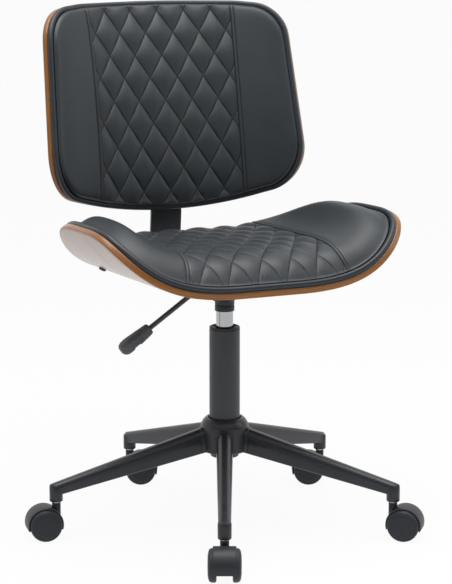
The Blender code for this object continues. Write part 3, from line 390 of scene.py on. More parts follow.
# %% Veneer and the plywood's cut edge
# the face: lacquered veneer with dark pores
DARK_WOOD = (0.170, 0.066, 0.020)
VENEER, tree, shader, wood = finish_of("walnut veneer", figure, True, Width=1.0)
tone = blended(tree, spread(tree, wood["Streak"], 0.33, 0.68, 0.0, 1.0), DARK_WOOD, (0.330, 0.145, 0.046))
pored = blended(tree, spread(tree, wood["Pores"], 0.30, 0.42, 1.0, 0.0), tone, darker(DARK_WOOD, 0.55))
feed_all(tree, shader, Base_Color=pored, Roughness=spread(tree, wood["Streak"], 0.3, 0.7, 0.35, 0.30),
         Coat_Weight=0.6, Coat_Roughness=0.18)
relief(tree, shader, wood["Pores"], 0.00008, 0.35)

# the edge: fine layers, glued and lacquered, seen end on
LAYER = 0.0031
EDGE, tree, shader, wood = finish_of("plywood edge", figure, True, Width=1.6)
height = node(tree, "SeparateXYZ", flat_place(tree)).outputs["Y"]
layers = maths(tree, "SINE", maths(tree, "MULTIPLY", height, 2 * math.pi / LAYER))
streak = spread(tree, wood["Streak"], 0.3, 0.7, 0.0, 1.0)
tone = blended(tree, streak, (0.222, 0.083, 0.018), (0.372, 0.151, 0.034))
glued = blended(tree, spread(tree, layers, -0.6, 0.8, 0.0, 0.45), tone, (0.150, 0.058, 0.013))
feed_all(tree, shader, Base_Color=glued, Roughness=0.36, Specular_IOR_Level=0.35, Coat_Weight=0.35,
         Coat_Roughness=0.16)
relief(tree, shader, layers, 0.00005, 0.3)
print("materials:", [m.name for m in bpy.data.materials])
print("edge layers are", LAYER * 1000, "mm apart")


# %% [markdown]
# ## Two bent sheets
# Both shells are flat sheets that were pressed in a mould, so they bend one way only. A point on a shell is
# therefore easiest to describe flat: how far across, how far along, and how high above the sheet. One
# function bends it into place. The seat is flat in its middle and sweeps up into two wings. The back is
# flat in its middle too and bends forward more and more towards its sides.


# %% The bends
class Sheet:
    """A bent sheet: bend gives place and lean for a distance across, matrix puts the sheet in the chair."""

    def __init__(self, bend, matrix):
        self.bend, self.matrix = bend, np.array(matrix)

    def put(self, across, along, lift):
        across, along, lift = np.broadcast_arrays(np.float64(across), along, lift)
        x, z, lean = self.bend(across)
        local = np.stack([x - lift * np.sin(lean), along, z + lift * np.cos(lean)], -1)
        return local @ self.matrix[:3, :3].T + self.matrix[:3, 3]

    def lay(self, flat, lift):
        """Places of flat points, given as rows of (across, along)."""
        return self.put(flat[:, 0], flat[:, 1], lift)


SEAT_FLAT, BACK_FLAT, STEP = 0.050, 0.030, 0.0002


def seat_bend(across):
    past = np.maximum(np.abs(across) - SEAT_FLAT, 0.0)
    lean = np.arctan(1.8 * past + 140 * past ** 3)
    return across, 0.90 * past ** 2 + 35.0 * past ** 4, np.sign(across) * lean


def back_lean(past):
    return 2.645 * past + 27.9 * past ** 3


run = np.linspace(0.0, 0.26, 1301)
middle = (back_lean(run)[:-1] + back_lean(run)[1:]) / 2
gone, raised = (np.concatenate([[0.0], np.cumsum(way(middle) * STEP)]) for way in (np.cos, np.sin))


def back_bend(across):
    past = np.maximum(np.abs(across) - BACK_FLAT, 0.0)
    x = np.minimum(np.abs(across), BACK_FLAT) + np.interp(past, run, gone)
    return np.sign(across) * x, np.interp(past, run, raised), np.sign(across) * back_lean(past)


SEAT_PLACE = at(0, 0, 0.415) @ turn(-2.2, "X")
BACK_PLACE = at(0, 0.267, 0.660) @ turn(90 - 10.9, "X")
SEAT, BACK = Sheet(seat_bend, COLUMN @ SEAT_PLACE), Sheet(back_bend, COLUMN @ BACK_PLACE)


def spaced(line, step):
    """Points a step apart on a closed line."""
    closed = np.vstack([line, line[:1]])
    length = np.concatenate([[0.0], np.cumsum(np.linalg.norm(np.diff(closed, axis=0), axis=1))])
    places = np.linspace(0.0, length[-1], int(round(length[-1] / step)) + 1)[:-1]
    return np.stack([np.interp(places, length, closed[:, i]) for i in (0, 1)], -1)


def resampled(line, step):
    """The line without small kinks, as a template's edge is sanded: averaged over 15 mm, twice."""
    fine = spaced(np.array(line), 0.001)
    for _ in range(2):
        fine = sum(np.roll(fine, k, 0) for k in range(-7, 8)) / 15
    return spaced(fine, step)


def seat_outline(inset, step=0.003):
    """Two superellipse halves: a squarer front and a rounder rear."""
    half = 0.255 - inset
    line = []
    for depth, power, side in ((0.158, 4.7, -1), (0.220, 2.9, 1)):
        for a in np.linspace(0.0, math.pi, 1600, endpoint=False):
            c, s = math.cos(a), math.sin(a)
            x = math.copysign(abs(c) ** (2 / power), c * side) * half
            line.append((x, -0.024 + side * (depth - inset) * s ** (2 / power)))
    return resampled(line, step)


def corner_curve(before, corner, after, reach):
    """A rounded corner that starts and ends reach away from the corner."""
    c = np.array(corner)
    start = c + (np.array(before) - c) / math.dist(before, corner) * reach
    end = c + (np.array(after) - c) / math.dist(after, corner) * reach
    pull_a, pull_b = start + (c - start) * 0.56, end + (c - end) * 0.56
    for s in np.linspace(0, 1, 40):
        r = 1 - s
        yield tuple(r ** 3 * start + 3 * s * r * r * pull_a + 3 * s * s * r * pull_b + s ** 3 * end)


def back_outline(inset, step=0.003):
    """A rounded shape, wider and more bowed below."""
    low, top, low_half, top_half = -0.172 + inset, 0.182 - inset, 0.252 - inset, 0.231 - inset
    low_bow, top_bow = 0.038, 0.013
    low_corner, top_corner = (low_half, low + low_bow), (top_half, top - top_bow)
    half = [(t, low + low_bow * (t / low_half) ** 2) for t in np.linspace(0, low_half - 0.078, 40)]
    half += corner_curve((low_half * 0.9, low + low_bow * 0.81), low_corner, top_corner, 0.060)
    half += corner_curve(low_corner, top_corner, (0.0, top), 0.056)
    half += [(t, top - top_bow * (t / top_half) ** 2) for t in np.linspace(top_half - 0.080, 0, 40)]
    return resampled(half + [(-x, y) for x, y in reversed(half[1:-1])], step)


def inward(outline):
    """The unit direction that points into the outline at each of its points."""
    along = np.roll(outline, -1, 0) - np.roll(outline, 1, 0)
    along /= np.linalg.norm(along, axis=1)[:, None]
    return np.stack([-along[:, 1], along[:, 0]], -1)


def inside_by(points, outline):
    """How far each point lies inside an outline; less than 0 outside it."""
    a, b = outline[:, 0] + 1j * outline[:, 1], np.roll(outline, -1, 0) @ np.array([1, 1j])
    points = points @ np.array([1, 1j])
    found = np.zeros(len(points))
    for start in range(0, len(points), 2000):
        p = points[start:start + 2000, None]
        share = np.clip(((p - a) * np.conj(b - a)).real / np.abs(b - a) ** 2, 0, 1)
        reach = np.abs(p - a - share * (b - a)).min(1)
        rising = (a.imag <= p.imag) != (b.imag <= p.imag)
        ahead = ((b - a).real * (p - a).imag / np.where(rising, (b - a).imag, 1.0)) > (p - a).real
        found[start:start + 2000] = np.where((rising & ahead).sum(1) % 2 == 1, reach, -reach)
    return found


print("seat outline", len(seat_outline(0)), "points, back outline", len(back_outline(0)), "points")


# %% [markdown]
# ## Skin of a sheet piece
# A pad or a shell has a top, a rim and an underside that share one outline. The rim is rings of that
# outline, each a little further in or lower. The flat parts are filled with triangles from the outline to a
# grid inside it. Where a grid of seams matters, the grid follows the seams, so each crease lies on an edge.


# %% Fill and stack
def filled(ring, inner, cells=(), in_cells=None):
    """Faces between a ring and the cells, or loose points, inside it. The ring's points count first."""
    count = len(ring)
    sides = dict.fromkeys((a, b) for cell in cells for a, b in zip(cell, cell[1:] + cell[:1]))
    rim = [(a, b) for a, b in sides if (b, a) not in sides]
    real = sorted({a for pair in rim for a in pair}) if cells else range(len(inner))
    number = [*range(count), *(count + a for a in real)]
    place = {a: count + k for k, a in enumerate(real)}
    points = [Vector(p) for p in ring] + [Vector(inner[a]) for a in real]
    edges = [(k, (k + 1) % count) for k in range(count)] + [(place[a], place[b]) for a, b in rim]
    flat, _, faces, origin, _, _ = delaunay_2d_cdt(points, edges, [], 0, 1e-7)
    centres = np.array([[sum(flat[k][i] for k in face) / 3 for i in (0, 1)] for face in faces])
    keep = inside_by(centres, ring) > 0
    triangles = [[number[origin[k][0]] for k in face] for face, centre, good in zip(faces, centres, keep)
                 if good and not (cells and in_cells(centre))]
    return triangles + [[count + k for k in cell] for cell in cells]


def lattice(outline, margin):
    """Cells along the slanting seams, inside an outline by a margin, and a test for what they cover."""
    reach = 9
    ticks = np.array([k + m for k in range(-reach, reach) for m in MARKS] + [float(reach)])
    size = len(ticks)
    a, b = np.meshgrid(ticks, ticks, indexing="ij")
    points = np.stack([DIAMOND * (a + b) / 2, QUILT_START + DIAMOND_LONG * (b - a) / 2], -1).reshape(-1, 2)
    near = (np.abs(points) < (0.27, 0.26)).all(1)
    good = np.zeros(len(points), bool)
    good[near] = inside_by(points[near], outline) > margin
    good = good.reshape(size, size)
    cell = good[:-1, :-1] & good[1:, :-1] & good[1:, 1:] & good[:-1, 1:]
    rows, columns = np.nonzero(cell)
    corners = np.stack([rows, rows + 1, rows + 1, rows], -1) * size
    corners += np.stack([columns, columns, columns + 1, columns + 1], -1)
    used = np.unique(corners)
    flat = bmesh.new()
    placed = [flat.verts.new((*p, 0.0)) for p in points[used]]
    for corner in np.searchsorted(used, corners):
        flat.faces.new([placed[k] for k in corner])
    for x in (sign * (PANEL + past) for sign in (-1, 1) for past in (-0.006, -0.003, 0.0, 0.003)):
        bmesh.ops.bisect_plane(flat, geom=flat.verts[:] + flat.edges[:] + flat.faces[:], dist=0.0003,
                               plane_co=(x, 0, 0), plane_no=(1, 0, 0))
    flat.verts.index_update()
    inner, cells = np.array([v.co[:2] for v in flat.verts]), [[v.index for v in f.verts] for f in flat.faces]
    flat.free()

    def in_cells(p):
        slope = (p[1] - QUILT_START) / DIAMOND_LONG
        i, j = np.searchsorted(ticks, (p[0] / DIAMOND - slope, p[0] / DIAMOND + slope)) - 1
        return 0 <= i < size - 1 and 0 <= j < size - 1 and cell[i, j]

    return inner, cells, in_cells


def grid_inside(ring, step, margin=0.004):
    """Loose points on a square grid inside a ring."""
    low, high = ring.min(0), ring.max(0)
    x, y = np.meshgrid(np.arange(low[0], high[0], step), np.arange(low[1], high[1], step))
    points = np.stack([x.ravel(), y.ravel()], -1)
    return points[inside_by(points, ring) > margin]


def skin(name, sheet, outline, rim, height, step, grid=None):
    """A closed piece. rim is (inset, lift) pairs, from the top's ring over the edge to the underside's."""
    normal, count = inward(outline), len(outline)
    rings = [outline + normal * inset for inset, _ in rim]
    lifts = [height(ring) if rise is None else np.full(count, rise) for ring, (_, rise) in zip(rings, rim)]
    inner, cells, in_cells = grid or (grid_inside(rings[0], step), (), None)
    below = grid_inside(rings[-1], step)
    last, start = (len(rim) - 1) * count, len(rim) * count
    faces = [(r + k, r + count + k, r + count + (k + 1) % count, r + (k + 1) % count)
             for r in range(0, last, count) for k in range(count)]
    faces += [[k if k < count else k - count + start for k in face]
              for face in filled(rings[0], inner, cells, in_cells)]
    start += len(inner)
    faces += [[last + k if k < count else k - count + start for k in reversed(face)]
              for face in filled(rings[-1], below)]
    flat = np.vstack([*rings, inner, below])
    lift = np.concatenate([*lifts, height(inner), np.full(len(below), rim[-1][1])])
    made = linked(name, plain_mesh(name, sheet.lay(flat, lift).tolist(), (), faces))
    made.data.shade_smooth()
    return made, flat, lift


def flat_map(piece, flat, lift, edge=()):
    """The sheet's own flat map. On the cut edge the map runs round the edge and up it."""
    layer = piece.data.uv_layers.new(name="sheet")
    for face in piece.data.polygons:
        for loop, vertex in zip(face.loop_indices, face.vertices):
            if face.index in edge:
                layer.data[loop].uv = (math.atan2(flat[vertex][1], flat[vertex][0]) * 0.2, lift[vertex])
            else:
                layer.data[loop].uv = flat[vertex]


# %% [markdown]
# ## The plywood shells
# The shells are pressed from thin veneers, about 11 mm thick under the seat and 9 mm behind the back. Their
# edge is sanded slightly round and lacquered. The faces and the cut edge look different on real plywood,
# so the edge faces get a material of their own.


# %% Seat shell and back shell
def shell(name, sheet, outline, ply, node_name):
    """A bent board with both edges sanded round. Its rim's faces are the cut edge."""
    soft, inner_ring = 0.0026, 0.012
    sanded = [(soft * (1 - math.sin(a)), soft * (math.cos(a) - 1)) for a in np.linspace(0, math.pi / 2, 6)]
    rim = [(inner_ring, 0.0), *sanded, (0.0, -ply / 2), *((i, -ply - z) for i, z in reversed(sanded)),
           (inner_ring, -ply)]
    made, flat, lift = skin(name, sheet, outline, rim, lambda p: np.zeros(len(p)), 0.009)
    edge = range(len(outline), len(outline) * (len(rim) - 2))
    flat_map(made, flat, lift, edge)
    made.data.materials.append(VENEER)
    made.data.materials.append(EDGE)
    for k in edge:
        made.data.polygons[k].material_index = 1
    fitted(made, "seat", "walnut_ply", None, node_name)


shell("seat_ply", SEAT, seat_outline(0.0), 0.011, "seat_shell")
shell("back_ply", BACK, back_outline(0.0), 0.009, "back_shell")


# %% [markdown]
# ## The quilted pads
# Each pad is foam under a cover that is sewn through along two sets of slanting lines. Between the lines the
# cover stands up in soft diamonds; on them it is pulled down. The side panels are plain. Pulling a cover
# down can be simulated, but on a grid that follows the seams a simple rule gives the same form and keeps
# every seam where it belongs: the height falls off as a rounded arch towards each line, and the foam rolls
# down to the rim as a quarter of an ellipse.

# %% Pad shapes
def chords(outline):
    """Functions for the lower and the upper limit of an outline at a place across."""
    right = outline[outline[:, 0] > -1e-9]
    right = right[np.argsort(right[:, 1])]
    tip = int(np.argmax(right[:, 0]))
    lower, upper = right[:tip + 1], right[tip:][::-1]
    return (lambda x: np.interp(np.abs(x), lower[:, 0], lower[:, 1]),
            lambda x: np.interp(np.abs(x), upper[:, 0], upper[:, 1]))


def swell(distance, reach):
    """How foam fills out from a held edge: upright at 0, nearly 1 at reach, and never a sudden bend."""
    return np.sqrt(1 - np.exp(-np.clip(distance, 0, None) / (0.354 * reach)))


# how high a pad's edge stands over its sheet, and the depth and width of the groove that a welt lies in
EDGE_UP, GROOVE, GROOVE_REACH = 0.0112, 0.0022, 0.0042
# how square the diamonds are, and how far from a welt and from the edge the seams reach their full depth
ARCH, SEAM_REACH, EDGE_REACH = 0.55, 0.016, 0.009


class Pad:
    """The height of a pad over its sheet, plain (the crown) and quilted."""

    def __init__(self, label, sheet, outline, form, depth):
        self.label, self.sheet, self.form, self.depth = label, sheet, form, depth
        self.outline, self.coarse = outline, outline[::4]
        self.low, self.high = (float(limit(PANEL)) for limit in chords(outline))

    def crown(self, p):
        return EDGE_UP + self.form(p, inside_by(p, self.coarse))

    def height(self, p):
        along = (p[:, 1] - QUILT_START) / DIAMOND_LONG
        arch = 1.0
        for steps in (p[:, 0] / DIAMOND - along, p[:, 0] / DIAMOND + along):
            arch = arch * np.sin(np.abs(steps - np.round(steps)) * math.pi) ** ARCH
        past = np.abs(p[:, 0]) - PANEL
        edge = np.clip(inside_by(p, self.coarse) / EDGE_REACH, 0.0, 1.0) ** 0.5
        sewn = (1 - arch) * self.depth * np.clip(-past / SEAM_REACH, 0, 1) ** 0.7
        return self.crown(p) - edge * (sewn + GROOVE * np.exp(-(past / GROOVE_REACH) ** 2))


SEAT_RIM, BACK_RIM = seat_outline(0.0076, 0.0015), back_outline(0.0074, 0.0015)
seat_front = chords(SEAT_RIM)[0]


def falling(value, half, power):
    """1 in the middle, 0 at half on either side."""
    return 1 - np.clip(np.abs(value) / half, 0, 1) ** power


def seat_form(p, inside):
    """A thick pad that falls away slowly at the front, so that it does not press the sitter's legs."""
    fall = (1 - np.exp(-np.clip(p[:, 1] - seat_front(p[:, 0]), 0, None) / 0.026)) ** 0.85
    return (0.0390 + 0.0078 * falling(p[:, 0], 0.2455, 2)) * swell(inside, 0.013) * fall


def back_form(p, inside):
    """A thinner pad: a short roll at the rim, then one flat dome over the whole back."""
    return 0.0034 * swell(inside, 0.020) + 0.0138 * falling(p[:, 0], 0.245, 2.4) * falling(p[:, 1], 0.18, 2.4)


PADS = Pad("seat", SEAT, SEAT_RIM, seat_form, 0.0042), Pad("back", BACK, BACK_RIM, back_form, 0.0052)
# where the grid's lines lie in a diamond, closer together near its seams
MARKS = (0.0, 0.016, 0.045, 0.09, 0.15, 0.22, 0.31, 0.41, 0.5, 0.59, 0.69, 0.78, 0.85, 0.91, 0.955, 0.984)

# the rim rolls over and tucks in beside the piping
PAD_RIM = [(i, None) for i in (0.0046, 0.0034, 0.0024, 0.0016, 0.0010, 0.0005, 0.0002)]
PAD_RIM += [(-0.0010, 0.0107), (-0.0018, 0.0101), (-0.0020, 0.0096), (-0.0017, 0.0090), (-0.0012, 0.0084),
            (-0.0010, 0.0070), (-0.0010, 0.0040), (-0.0007, 0.0016), (0.0, 0.0004), (0.012, 0.0004)]
for pad in PADS:
    made, flat, lift = skin(f"{pad.label}_pad", pad.sheet, pad.outline, PAD_RIM, pad.height, 0.012,
                            lattice(pad.coarse, 0.0060))
    flat_map(made, flat, lift)
    fitted(made, "seat", "leather", HIDE, f"{pad.label}_cushion")


# %% [markdown]
# ## Welts, piping and stitches
# A narrow welt hides the join between the quilted panel and each side panel. A cord in a strip of the cover,
# the piping, closes the gap between pad and shell all round. Both are round sections swept along a line on
# the sheet. The stitches repeat along the seams, so a node tree lays them: it walks each seam at the stitch
# length and sets a short thread there.


# %% Welts and piping
def laid_cord(name, centres, normals, across, high, closed, sides, square=2.0):
    """A cord along a line on a surface. Its section is a superellipse: 2 is an ellipse, more is squarer."""
    if closed:
        along = np.roll(centres, -1, 0) - np.roll(centres, 1, 0)
    else:
        along = np.gradient(centres, axis=0)
    side = np.cross(along, normals)
    side /= np.linalg.norm(side, axis=1)[:, None]
    rows = []
    for k in range(sides):
        c, s = math.cos(2 * math.pi * k / sides), math.sin(2 * math.pi * k / sides)
        c, s = (math.copysign(abs(v) ** (2 / square), v) for v in (c, s))
        rows.append(centres + side * (across * c) + normals * (high * s))
    points, faces = lofted(np.stack(rows, 1).tolist())
    if closed:
        last = len(points) - sides
        faces = faces[1:-1] + [(last + k, last + (k + 1) % sides, (k + 1) % sides, k) for k in range(sides)]
    return mesh_object(name, points, faces, angle=180.0)


def upright_line(x, y):
    return np.stack([np.full(len(y), x), y], -1)


def on_crown(pad, line):
    """Places on a pad's crown over a flat line, and the crown's normals there."""
    tiny = 0.0004
    place, right, left, ahead, behind = (
        pad.sheet.lay(line + shift, pad.crown(line + shift))
        for shift in ((0, 0), (tiny, 0), (-tiny, 0), (0, tiny), (0, -tiny)))
    normals = np.cross(right - left, ahead - behind)
    return place, normals / np.linalg.norm(normals, axis=1)[:, None]


for label, sheet, line in (("seat", SEAT, seat_outline(0.0029)), ("back", BACK, back_outline(0.0027))):
    low, high = (sheet.lay(line, lift) for lift in (0.0044, 0.0054))
    cord = laid_cord(f"{label}_edge_cord", low, (high - low) / 0.001, 0.0046, 0.0044, True, 20, 2.5)
    fitted(cord, "seat", "piping", CORD, f"{label}_piping")

for pad in PADS:
    low, high = pad.low + 0.0003, pad.high - 0.0003
    y = low + (high - low) * (1 - np.cos(np.linspace(0, math.pi, 120))) / 2
    for side, sign in (("left", -1), ("right", 1)):
        places, normals = on_crown(pad, upright_line(sign * PANEL, y))
        centres = places - normals * 0.0016
        welt = laid_cord(f"{pad.label}_welt_{side}", centres, normals, 0.0027, 0.0019, False, 14)
        fitted(welt, "seat", "leather", HIDE)


# %% Stitches by geometry nodes
SHAPE, MATERIAL, OBJECT = "NodeSocketGeometry", "NodeSocketMaterial", "NodeSocketObject"


def laying_tree(name, inputs, laid):
    """A node tree that sets one thing on every place, upright along a direction, as one real mesh."""
    inputs = {"Geometry": SHAPE, **inputs, "Finish": MATERIAL}
    tree, given, out = node_group(name, inputs, {"Geometry": SHAPE}, "GeometryNodeTree")
    places, thing, direction = laid(tree, given)
    face = node(tree, "FunctionNodeAlignRotationToVector", axis="Z", Vector=direction)
    lay = node(tree, "InstanceOnPoints", Points=places, Instance=thing, Rotation=face)
    real = node(tree, "RealizeInstances", lay)
    painted = node(tree, "SetMaterial", Geometry=real, Material=given["Finish"])
    feed_all(tree, out, Geometry=painted)
    return tree


def through_nodes(name, guide_mesh, tree, **values):
    """Run a node tree on a guide and keep the plain mesh."""
    guide = linked("guide", guide_mesh)
    step = guide.modifiers.new(tree.name, "NODES")
    step.node_group = tree
    for item in tree.interface.items_tree:
        if item.in_out == "INPUT" and item.name in values:
            step[item.identifier] = values[item.name]
    mesh = evaluated_mesh(guide)
    mesh.name = name
    bpy.data.objects.remove(guide)
    return linked(name, mesh)


def thread_row(tree, given):
    """Places at a pitch along every line, a short thread, and the line's own direction."""
    curve = node(tree, "MeshToCurve", given["Geometry"])
    walk = node(tree, "ResampleCurve", mode="LENGTH", Curve=curve, Length=given["Pitch"])
    thread = node(tree, "MeshCylinder", fill_type="NGON", Vertices=6, Radius=given["Thickness"],
                  Depth=given["Length"])
    return walk, thread, node(tree, "InputTangent")


def seam_lines(pad):
    """Flat lines of every slanting seam, clipped to the panel and the pad."""
    y = np.arange(-0.26, 0.26, 0.0015)
    for slope in (-1, 1):
        for k in range(-9, 10):
            line = np.stack([(k + slope * (y - QUILT_START) / DIAMOND_LONG) * DIAMOND, y], -1)
            good = (np.abs(line[:, 0]) < PANEL - 0.003) & (inside_by(line, pad.coarse) > 0.006)
            if good.sum() > 3:
                yield line[good]


STITCHES = laying_tree("stitch line", {"Pitch": 0.0045, "Length": 0.0032, "Thickness": 0.0005}, thread_row)
for pad in PADS:
    points, edges = [], []
    rows = [(line, 0.0001) for line in seam_lines(pad)]
    y = np.arange(pad.low + 0.006, pad.high - 0.006, 0.002)
    rows += [(upright_line(sign * PANEL + shift, y), 0.0002)
             for sign in (-1, 1) for shift in (-0.0035, 0.0035)]
    for line, lift in rows:
        start = len(points)
        points += pad.sheet.lay(line, pad.height(line) + lift).tolist()
        edges += [(k, k + 1) for k in range(start, len(points) - 1)]
    sewn = through_nodes(f"{pad.label}_stitches", plain_mesh("seam guide", points, edges), STITCHES,
                         Pitch=0.0042, Length=0.0032, Thickness=0.00032, Finish=THREAD)
    fitted(sewn, "seat", "piping", THREAD)


# %% [markdown]
# ## The bracket and its screws
# A flat steel bar runs under the seat, bends up and is screwed to the back shell. Its edges are rolled, not
# sharp. The screws are all of one kind, a button head with a six-sided socket, so one head is made and a
# node tree sets it on each place.


# %% The bar
BAR_HALF, BAR_THICK, BAR_BEND = 0.028, 0.006, 0.028


def bar_path():
    """The bar's inner face as (y, z), under the seat, round the bend and up the back."""
    first = SEAT_PLACE @ Vector((0.0, 0.100, -0.0113))
    low, high = BACK_PLACE @ Vector((0.0, -0.168, -0.0093)), BACK_PLACE @ Vector((0.0, 0.010, -0.0093))
    along = Vector((math.cos(math.radians(2.2)), -math.sin(math.radians(2.2))))
    start = Vector((first.y, first.z)) + along * (0.250 - BAR_BEND - first.y) / along.x
    centre = start + Vector((-along.y, along.x)) * BAR_BEND
    line = [(first.y, first.z)]
    for k in range(15):
        a = math.radians(-92.2 + 96.2 * k / 14)
        line.append((centre.x + BAR_BEND * math.cos(a), centre.y + BAR_BEND * math.sin(a)))
    return line[:-1] + eased([line[-1], (low.y, low.z), (high.y, high.z)], 0.020, 6)


def bar_section(half, thick, ease):
    """The corners of a rounded rectangle, as (across, outwards)."""
    corners = [(-half, ease), (-half, 0.0), (half, 0.0), (half, thick), (-half, thick), (-half, ease)]
    return eased(corners, ease, 3)[:-1]


path = [Vector((0.0, y, z)) for y, z in bar_path()]
sections = []
for k, p in enumerate(path):
    along = (path[min(k + 1, len(path) - 1)] - path[max(k - 1, 0)]).normalized()
    out_way = Vector((0.0, along.z, -along.y))
    section = bar_section(BAR_HALF, BAR_THICK, 0.0014)
    sections.append([p + Vector((x, 0, 0)) + out_way * d for x, d in section])
fitted(mesh_object("bent_bar", *lofted(sections), COLUMN), "seat", "black_steel", PAINT, "back_bracket")


# %% Screws by geometry nodes
def screw_head():
    """A button-head screw with a six-sided socket, its shank towards +Z."""
    profile = [(0.0, 0.0055), (0.0028, 0.0055), (0.0029, 0.0), (0.0062, 0.0), (0.0065, -0.0004),
               (0.0062, -0.0015), (0.0052, -0.0027), (0.0038, -0.0034), (0.0026, -0.0035), (0.0, -0.0035)]
    socket = [(0.0, -0.0040), (0.0023, -0.0040), (0.0021, -0.0013), (0.0, -0.0009)]
    return cut(turned("screw head", profile, 24), turned("socket", socket, 6), "DIFFERENCE")


def screw_row(tree, given):
    """The guide's own points, one screw, and the direction that each point holds."""
    picked = node(tree, "ObjectInfo", Object=given["Screw"])
    way = node(tree, "InputNamedAttribute", data_type="FLOAT_VECTOR", Name="way")
    return given["Geometry"], picked.outputs["Geometry"], way


screws = []
for sheet, lift, stem, spots in ((SEAT, -0.0176, "bracket_bolt", ((0, 0.115), (0, 0.165))),
                                 (BACK, -0.0156, "back_bolt", ((0, -0.110), (0, -0.040))),
                                 (SEAT, -0.0146, "plate_bolt", ((-0.038, -0.050), (-0.038, 0.050),
                                                                (0.038, -0.050), (0.038, 0.050)))):
    screws += [(sheet.put(*spot, lift), sheet.matrix[:3, 2], f"{stem}_{k}")
               for k, spot in enumerate(spots, 1)]
for x, side in ((-0.178, "left"), (0.178, "right")):
    foot, above = SEAT.put(x, 0.072, -0.0113), SEAT.put(x, 0.072, 0.0)
    screws.append((foot, (above - foot) / np.linalg.norm(above - foot), f"cushion_screw_{side}"))
places, ways, stood_for = zip(*screws)
mesh = plain_mesh("screw places", places)
mesh.attributes.new("way", "FLOAT_VECTOR", "POINT").data.foreach_set("vector", np.ravel(ways))
head = screw_head()
made = through_nodes("button_screws", mesh, laying_tree("screws on points", {"Screw": OBJECT}, screw_row),
                     Screw=head, Finish=PAINT)
bpy.data.objects.remove(head)
made.data.set_sharp_from_angle(angle=math.radians(38.0))
fitted(made, "seat", "black_steel", PAINT, *stood_for)

# %% [markdown]
# ## The gas lift
# The lift is a chrome cylinder that slides in a painted tube. A plastic guide closes the tube's top, and a
# black bush covers the cylinder where it enters the mechanism. All of it is turned, so every part is a spun
# profile with its real fillets, grooves and lips.

# %% Tube, guide, cylinder and bush
tube = eased([(0.0051, 0.113), (0.0230, 0.113), (0.0250, 0.125), (0.0250, 0.3259), (0.0242, 0.3266),
              (0.0234, 0.3266), (0.0232, 0.127), (0.0212, 0.116), (0.0051, 0.116),
              (0.0051, 0.1145)], 0.0007, 3)
guide_ring = eased([(0.0229, 0.263), (0.0229, 0.3270), (0.0238, 0.3270), (0.0250, 0.3275), (0.0250, 0.3286),
                    (0.0242, 0.3300), (0.0222, 0.3300), (0.0200, 0.3288), (0.0183, 0.3279), (0.0143, 0.3255),
                    (0.0143, 0.263), (0.0200, 0.262)], 0.0007, 3)
shaft = eased([(0.0051, 0.160), (0.0130, 0.160), (0.0140, 0.162), (0.0140, 0.3790), (0.0130, 0.380),
               (0.0038, 0.380), (0.0038, 0.366), (0.0, 0.366)], 0.0006, 3)
bush = eased([(0.0143, 0.3782), (0.0143, 0.356), (0.0156, 0.356), (0.0160, 0.3564), (0.0160, 0.3652),
              (0.0153, 0.3656), (0.0153, 0.3664), (0.0160, 0.3668), (0.0160, 0.3722), (0.0200, 0.3762),
              (0.0200, 0.3782), (0.0160, 0.3782)], 0.0004, 2)
for name, profile, sides, body, slot, finish, solid in (
        ("lift_tube", tube, 80, "base", "black_steel", PAINT, "column_tube"),
        ("lift_guide", guide_ring, 80, "base", "black_plastic", PAINT, "column_sleeve"),
        ("lift_shaft", [(0.0, 0.168), (0.0051, 0.168)] + shaft, 80, "seat", "chrome", CHROME, "gas_cylinder"),
        ("lift_bush_cover", bush, 64, "seat", "black_plastic", PLASTIC, "lift_bush")):
    fitted(turned(name, profile, sides, COLUMN), body, slot, finish, solid)

# %% [markdown]
# ## The height lever
# A bent rod reaches out from under the seat and ends in a moulded paddle. The rod is one sweep with a true
# bend. The paddle is a loft with soft corners, flatter above, with a finger notch below. The white marks on
# the real paddle are left off, because the part carries no signs.

# %% Rod and paddle
pivot = COLUMN @ at(-0.030, 0.0, 0.3885)
DROP, ROD, ELBOW = 34.0, 0.004, -0.026
down = (-math.cos(math.radians(DROP)), -math.sin(math.radians(DROP)))
rod_line = eased([(0.032, 0.0), (ELBOW, 0.0), (ELBOW + down[0] * 0.103, down[1] * 0.103)], 0.012, 10)
sections = []
for k, (x, z) in enumerate(rod_line):
    before, after = Vector(rod_line[max(k - 1, 0)]), Vector(rod_line[min(k + 1, len(rod_line) - 1)])
    along = (after - before).normalized()
    ring = [(ROD * math.cos(2 * math.pi * i / 24), ROD * math.sin(2 * math.pi * i / 24)) for i in range(24)]
    sections.append([(x - along.y * high, wide, z + along.x * high) for high, wide in ring])
fitted(mesh_object("lever_bar", *lofted(sections), pivot), "lever", "black_steel", LIT_LEVER_PAINT, "lever_rod")

LENGTH, HALF, HIGH = 0.059, 0.0115, 0.0100
rows = []
# distance along the paddle, half-width, height above and below the rod's line, in shares
for s, w, above, below in ((0.0, 0.64, 0.74, 0.74), (0.03, 0.71, 0.82, 0.82), (0.12, 0.77, 0.86, 0.90),
                           (0.42, 0.90, 0.95, 1.02), (0.46, 0.92, 0.96, 0.99), (0.49, 0.93, 0.97, 0.86),
                           (0.65, 0.98, 1.02, 0.85), (0.68, 1.00, 1.03, 1.00), (0.74, 1.00, 1.04, 1.06),
                           (0.88, 0.95, 0.98, 1.03), (0.96, 0.80, 0.80, 0.84), (1.0, 0.58, 0.54, 0.58)):
    w, above, below = w * HALF, -above * HIGH, below * HIGH
    corner = [(-w, 0.0), (-w, below * 0.5), (-w * 0.7, below), (w * 0.7, below), (w, below * 0.5),
              (w, above * 0.5), (w * 0.66, above), (-w * 0.66, above), (-w, above * 0.5), (-w, 0.0)]
    rows.append([(s * LENGTH, y, z) for y, z in eased(corner, 0.0012, 3)[:-1]])
